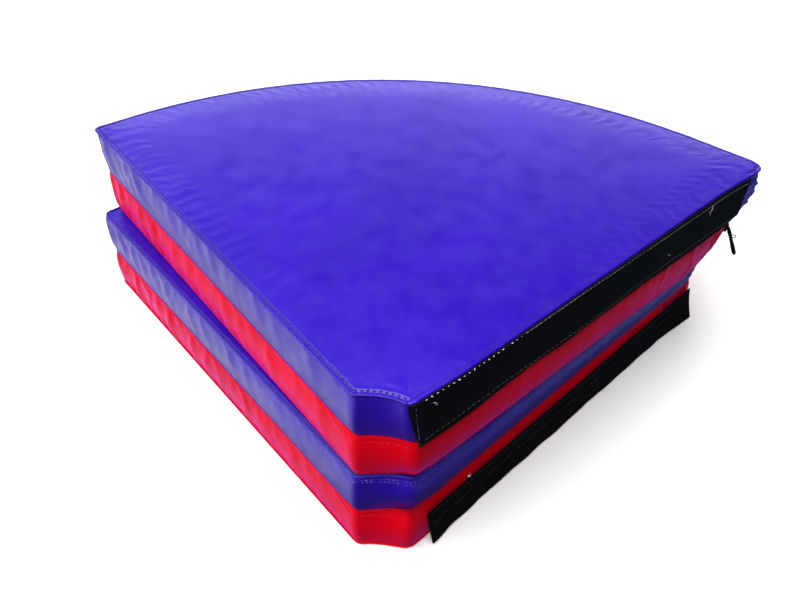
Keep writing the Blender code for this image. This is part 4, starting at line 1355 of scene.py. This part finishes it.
def makeLooseThreads():
    # each thread is a cubic through its four places, with a round section
    t, around = np.linspace(0, 3, 25), circle(6)
    pieces = []
    for name, one in looseThreads.items():
        knots = np.array(one["by"])
        line = np.stack([np.polyval(np.polyfit(range(4), knots[:, k], 3), t) for k in range(3)], -1)
        u, z = one["from"][0] + line[:, 0], one["from"][1] + line[:, 1]
        plan, normal = onWall(topPad, u, hookOffset(u, np.full(25, 0.5), z) + hook["thickness"] / 2 + line[:, 2])
        path = toWorld(topPad, withZ(plan, z))
        run = unit(np.gradient(path, axis=0))
        side = unit(np.cross(run, turned(topPad, withZ(normal, 0.0))))
        up = np.cross(run, side)
        grid = path[:, None] + threadRadius * (side[:, None] * np.cos(around)[None, :, None]
                                               + up[:, None] * np.sin(around)[None, :, None])
        pieces.append(addGrid(name, grid, "paleThread", topPad["body"], caps=True))
    pressFlat(pieces)


def makeLintTuft():
    # a tuft of lint on the red wall: a soft middle with fibres that point anywhere
    plan = onWall(basePad, np.array([speck["u"]]), np.array([speck["out"]]))[0]
    place = toWorld(basePad, withZ(plan, speck["z"]))[0]
    rng = np.random.default_rng(11)
    points, faces = capsule(*speck["size"])
    spread = unit(rng.normal(0, 1, (speck["fibres"], 3)))
    other = unit(np.cross(spread, [0.3, 0.2, 0.9]))
    fibres = repeated(*capsule(*speck["fibre"]), place + spread * speck["spread"], spread, other,
                      np.cross(spread, other))
    addParts("baseLintTuft", [(points + place, faces), fibres], "paleThread", basePad["body"])


makeHookStrip()
makeLoopStrip()
makeLooseThreads()
makeLintTuft()
print("closing strips made")


# Hinge cloth: one strip folded in the gap

hinge = {
    "width": 0.030,
    "thickness": 0.0006,
    "middle": 0.00050,         # of a layer from the fold's own level
    "steps": 90,
    "blend": 0.00045,
    "sharpAbove": 50,
}
# the fold: its first and last place along the walls, and how far its cloth is drawn in from them
hinges = {
    "lowerHinge": (0.064, 0.588, 0.0036),
    "middleHinge": (0.072, 0.560, 0.0078),
    "upperHinge": (0.064, 0.588, 0.0036),
}


def makeHinge(name, low, high, side, turn):
    # closed profile of a strip folded in two: lower layer, a half round at the fold line, upper layer
    gapMiddle = (low["level"] + low["half"] + high["level"] - high["half"]) / 2
    r, t = hinge["middle"], hinge["thickness"] / 2
    first, last, back = hinges[name]
    flat = np.linspace(-hinge["width"], -r * 1.2, 12)
    bend = np.radians(np.linspace(-90, 90, 9))[1:-1]
    line = np.concatenate([np.stack([flat, np.full(12, -r)], -1),
                           np.stack([-r * 1.2 + r * np.cos(bend), r * np.sin(bend)], -1),
                           np.stack([flat[::-1], np.full(12, r)], -1)])
    line = line - [back, 0.0]
    step = np.gradient(line, axis=0)
    normal = unit(np.stack([step[:, 1], -step[:, 0]], -1))
    profile = np.concatenate([line + normal * t, (line - normal * t)[::-1]])
    along, inward = edgeAxes(side)
    path = withZ(along * np.linspace(first, last, hinge["steps"])[:, None], 0.0)
    out, up = (np.broadcast_to(v, path.shape) for v in ([*(-inward), 0.0], upward))
    grid = toWorld({"turn": turn, "level": gapMiddle}, sweep(path, out, up, profile))
    grid = grid[:, ::-1] if side < 0 else grid
    obj = addGrid(name, grid, (low["vinyl"], high["vinyl"]), None, low["slot"], hinge["sharpAbove"], caps=True)
    polygons = obj.data.polygons
    centres = np.zeros(len(polygons) * 3)
    polygons.foreach_get("center", centres)
    polygons.foreach_set("material_index", (centres[2::3] > gapMiddle).astype(np.int32))
    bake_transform(obj)
    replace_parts(obj, *("fold_" + name.replace("Hinge", "") + tail for tail in ("_leaf_below", "_leaf_above")))


makeHinge("lowerHinge", pads[0], pads[1], -1, stack["fanAngle"])
makeHinge("middleHinge", pads[1], pads[2], 1, stack["fanAngle"] / 2)
makeHinge("upperHinge", pads[2], pads[3], -1, 0.0)
print("hinges made")


# Floor, light and camera

floor = {"bowlFrom": 3.0, "bowl": 0.35, "radius": 9, "glowFrom": 0.7, "glowTo": 3.0, "glow": (0.10, 0.75)}


def makeFloor():
    # level sheet that rises in a bowl far out: height = bowl times the square of the distance past bowlFrom;
    # far from the object it glows a little, so that the ground stays pale up to its edge
    tree, place = newMaterial("paleFloor")
    drift = noise(tree, place, 1.5, 3.0, 0.5)
    far = addNode(tree, "VectorMath", {0: place}, "Value", "LENGTH")
    dress(tree, {"Base Color": ramp(tree, drift, [(0.3, (0.86, 0.86, 0.86)), (0.7, (0.88, 0.88, 0.88))]),
                 "Roughness": 0.8, "Specular IOR Level": 0.1, "Emission Color": (1.0, 1.0, 1.0, 1.0),
                 "Emission Strength": span(tree, far, floor["glowFrom"], floor["glowTo"], *floor["glow"])}, [])
    distance, turn = np.meshgrid(np.linspace(0.02, floor["radius"], 60), circle(96), indexing="ij")
    height = floor["bowl"] * np.maximum(distance - floor["bowlFrom"], 0) ** 2
    grid = np.stack([distance * np.cos(turn), distance * np.sin(turn), height], -1)
    obj = addGrid("paleFloor", grid[:, ::-1], "paleFloor", None, caps=True)
    obj.visible_diffuse = obj.visible_glossy = False   # it takes the shadow but throws no light back
    obj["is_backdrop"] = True


room = {"strength": 1.55, "bright": (0.95, 0.93, 0.98), "dim": (0.056, 0.054, 0.054), "edge": (0.21, 0.34),
        "slate": (0.24, 0.34, 0.64), "band": (0.37, 0.42, 0.47, 0.53), "gamma": 0.88}
lamps = {
    "key": {"energy": 108, "size": (2.2, 2.2), "at": (-0.35, -0.50, 2.60), "to": (0.05, -0.05, 0.1),
            "colour": (0.96, 0.98, 1.0)},
    "back": {"energy": 70, "size": (4.0, 0.9), "at": (0.0, 2.7, 0.75), "to": (0, 0.1, 0.2),
             "colour": (1.0, 1.0, 1.0)},
    "front": {"energy": 8, "size": (1.6, 1.0), "at": (0.5, -2.1, 1.1), "to": (0.05, -0.25, 0.1),
              "colour": (1.0, 0.60, 0.40)},
}


def place(obj, side, up, back, at):
    # turn an object so that it looks along minus back, and move it to a place
    obj.matrix_world = Matrix([[side[k], up[k], back[k], at[k]] for k in range(3)] + [[0, 0, 0, 1]])


def makeLights():
    # a room that is bright at the left and dim elsewhere, with a bluish band low at the right, where the height
    # plus half the way to the right is near nothing; a soft lamp overhead, a wide low one at the back and a warm
    # one in front
    world = bpy.data.worlds.new("softRoom")
    world.use_nodes = True
    tree = world.node_tree
    way = addNode(tree, "SeparateXYZ", {"Vector": addNode(tree, "TexCoord", {}, "Generated")}).node.outputs
    toLeft = span(tree, way["X"], -1, 1, 0, 1)
    slope = addNode(tree, "Math", {0: way["X"], 1: 0.5, 2: way["Z"]}, "Value", "MULTIPLY_ADD")
    rise = span(tree, slope, -1.5, 1.5, 0, 1)
    none, slate = (0.0, 0.0, 0.0), room["slate"]
    wide = ramp(tree, toLeft, zip(room["edge"], (room["bright"], room["dim"])))
    band = ramp(tree, rise, zip(room["band"], (none, slate, slate, none)))
    both = addNode(tree, "VectorMath", {0: wide, 1: band}, "Vector", "ADD")
    setSockets(tree, tree.nodes["Background"], {"Strength": room["strength"], "Color": both})
    bpy.context.scene.world = world
    for name, values in lamps.items():
        lamp = bpy.data.lights.new(name + "Light", "AREA")
        lamp.shape = "RECTANGLE"
        lamp.size, lamp.size_y = values["size"]
        lamp.energy, lamp.color = values["energy"], values["colour"]
        at, to = (np.array(values[k], float) for k in ("at", "to"))
        back = unit(at - to)
        side = unit(np.cross(upward, back))
        place(addObject(name + "Light", lamp), side, np.cross(back, side), back, at)
    bpy.context.scene.view_settings.view_transform = "Standard"
    bpy.context.scene.view_settings.gamma = room["gamma"]


view = {"yaw": -0.099977, "pitch": 0.704255, "roll": 0.001956, "focalPixels": 734.85, "width": 800,
        "fromPole": (0.049008, -0.592745, 0.857935), "shift": (0.02776, -0.08081)}


def makeCamera():
    # place and turn found from the arc, the straight edges and the corners in the photograph
    yaw, pitch, roll = view["yaw"], view["pitch"], view["roll"]
    ahead = np.array([math.sin(yaw) * math.cos(pitch), math.cos(yaw) * math.cos(pitch), -math.sin(pitch)])
    right = np.array([math.cos(yaw), -math.sin(yaw), 0.0])
    up = np.cross(right, ahead)
    side = math.cos(roll) * right + math.sin(roll) * up
    over = -math.sin(roll) * right + math.cos(roll) * up
    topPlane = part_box("top_face_sheet")[1].z
    at = np.array([*poleLine, topPlane]) + stack["matRadius"] * np.array(view["fromPole"])
    lens = bpy.data.cameras.new("photoCamera")
    lens.sensor_width = 36.0
    lens.lens = lens.sensor_width * view["focalPixels"] / view["width"]
    lens.shift_x, lens.shift_y = view["shift"]
    lens.clip_start, lens.clip_end = 0.01, 50
    camera = addObject("photoCamera", lens)
    place(camera, side, over, -ahead, at)
    bpy.context.scene.camera = camera


makeFloor()
makeLights()
makeCamera()
low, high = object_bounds()
print("scene ready")
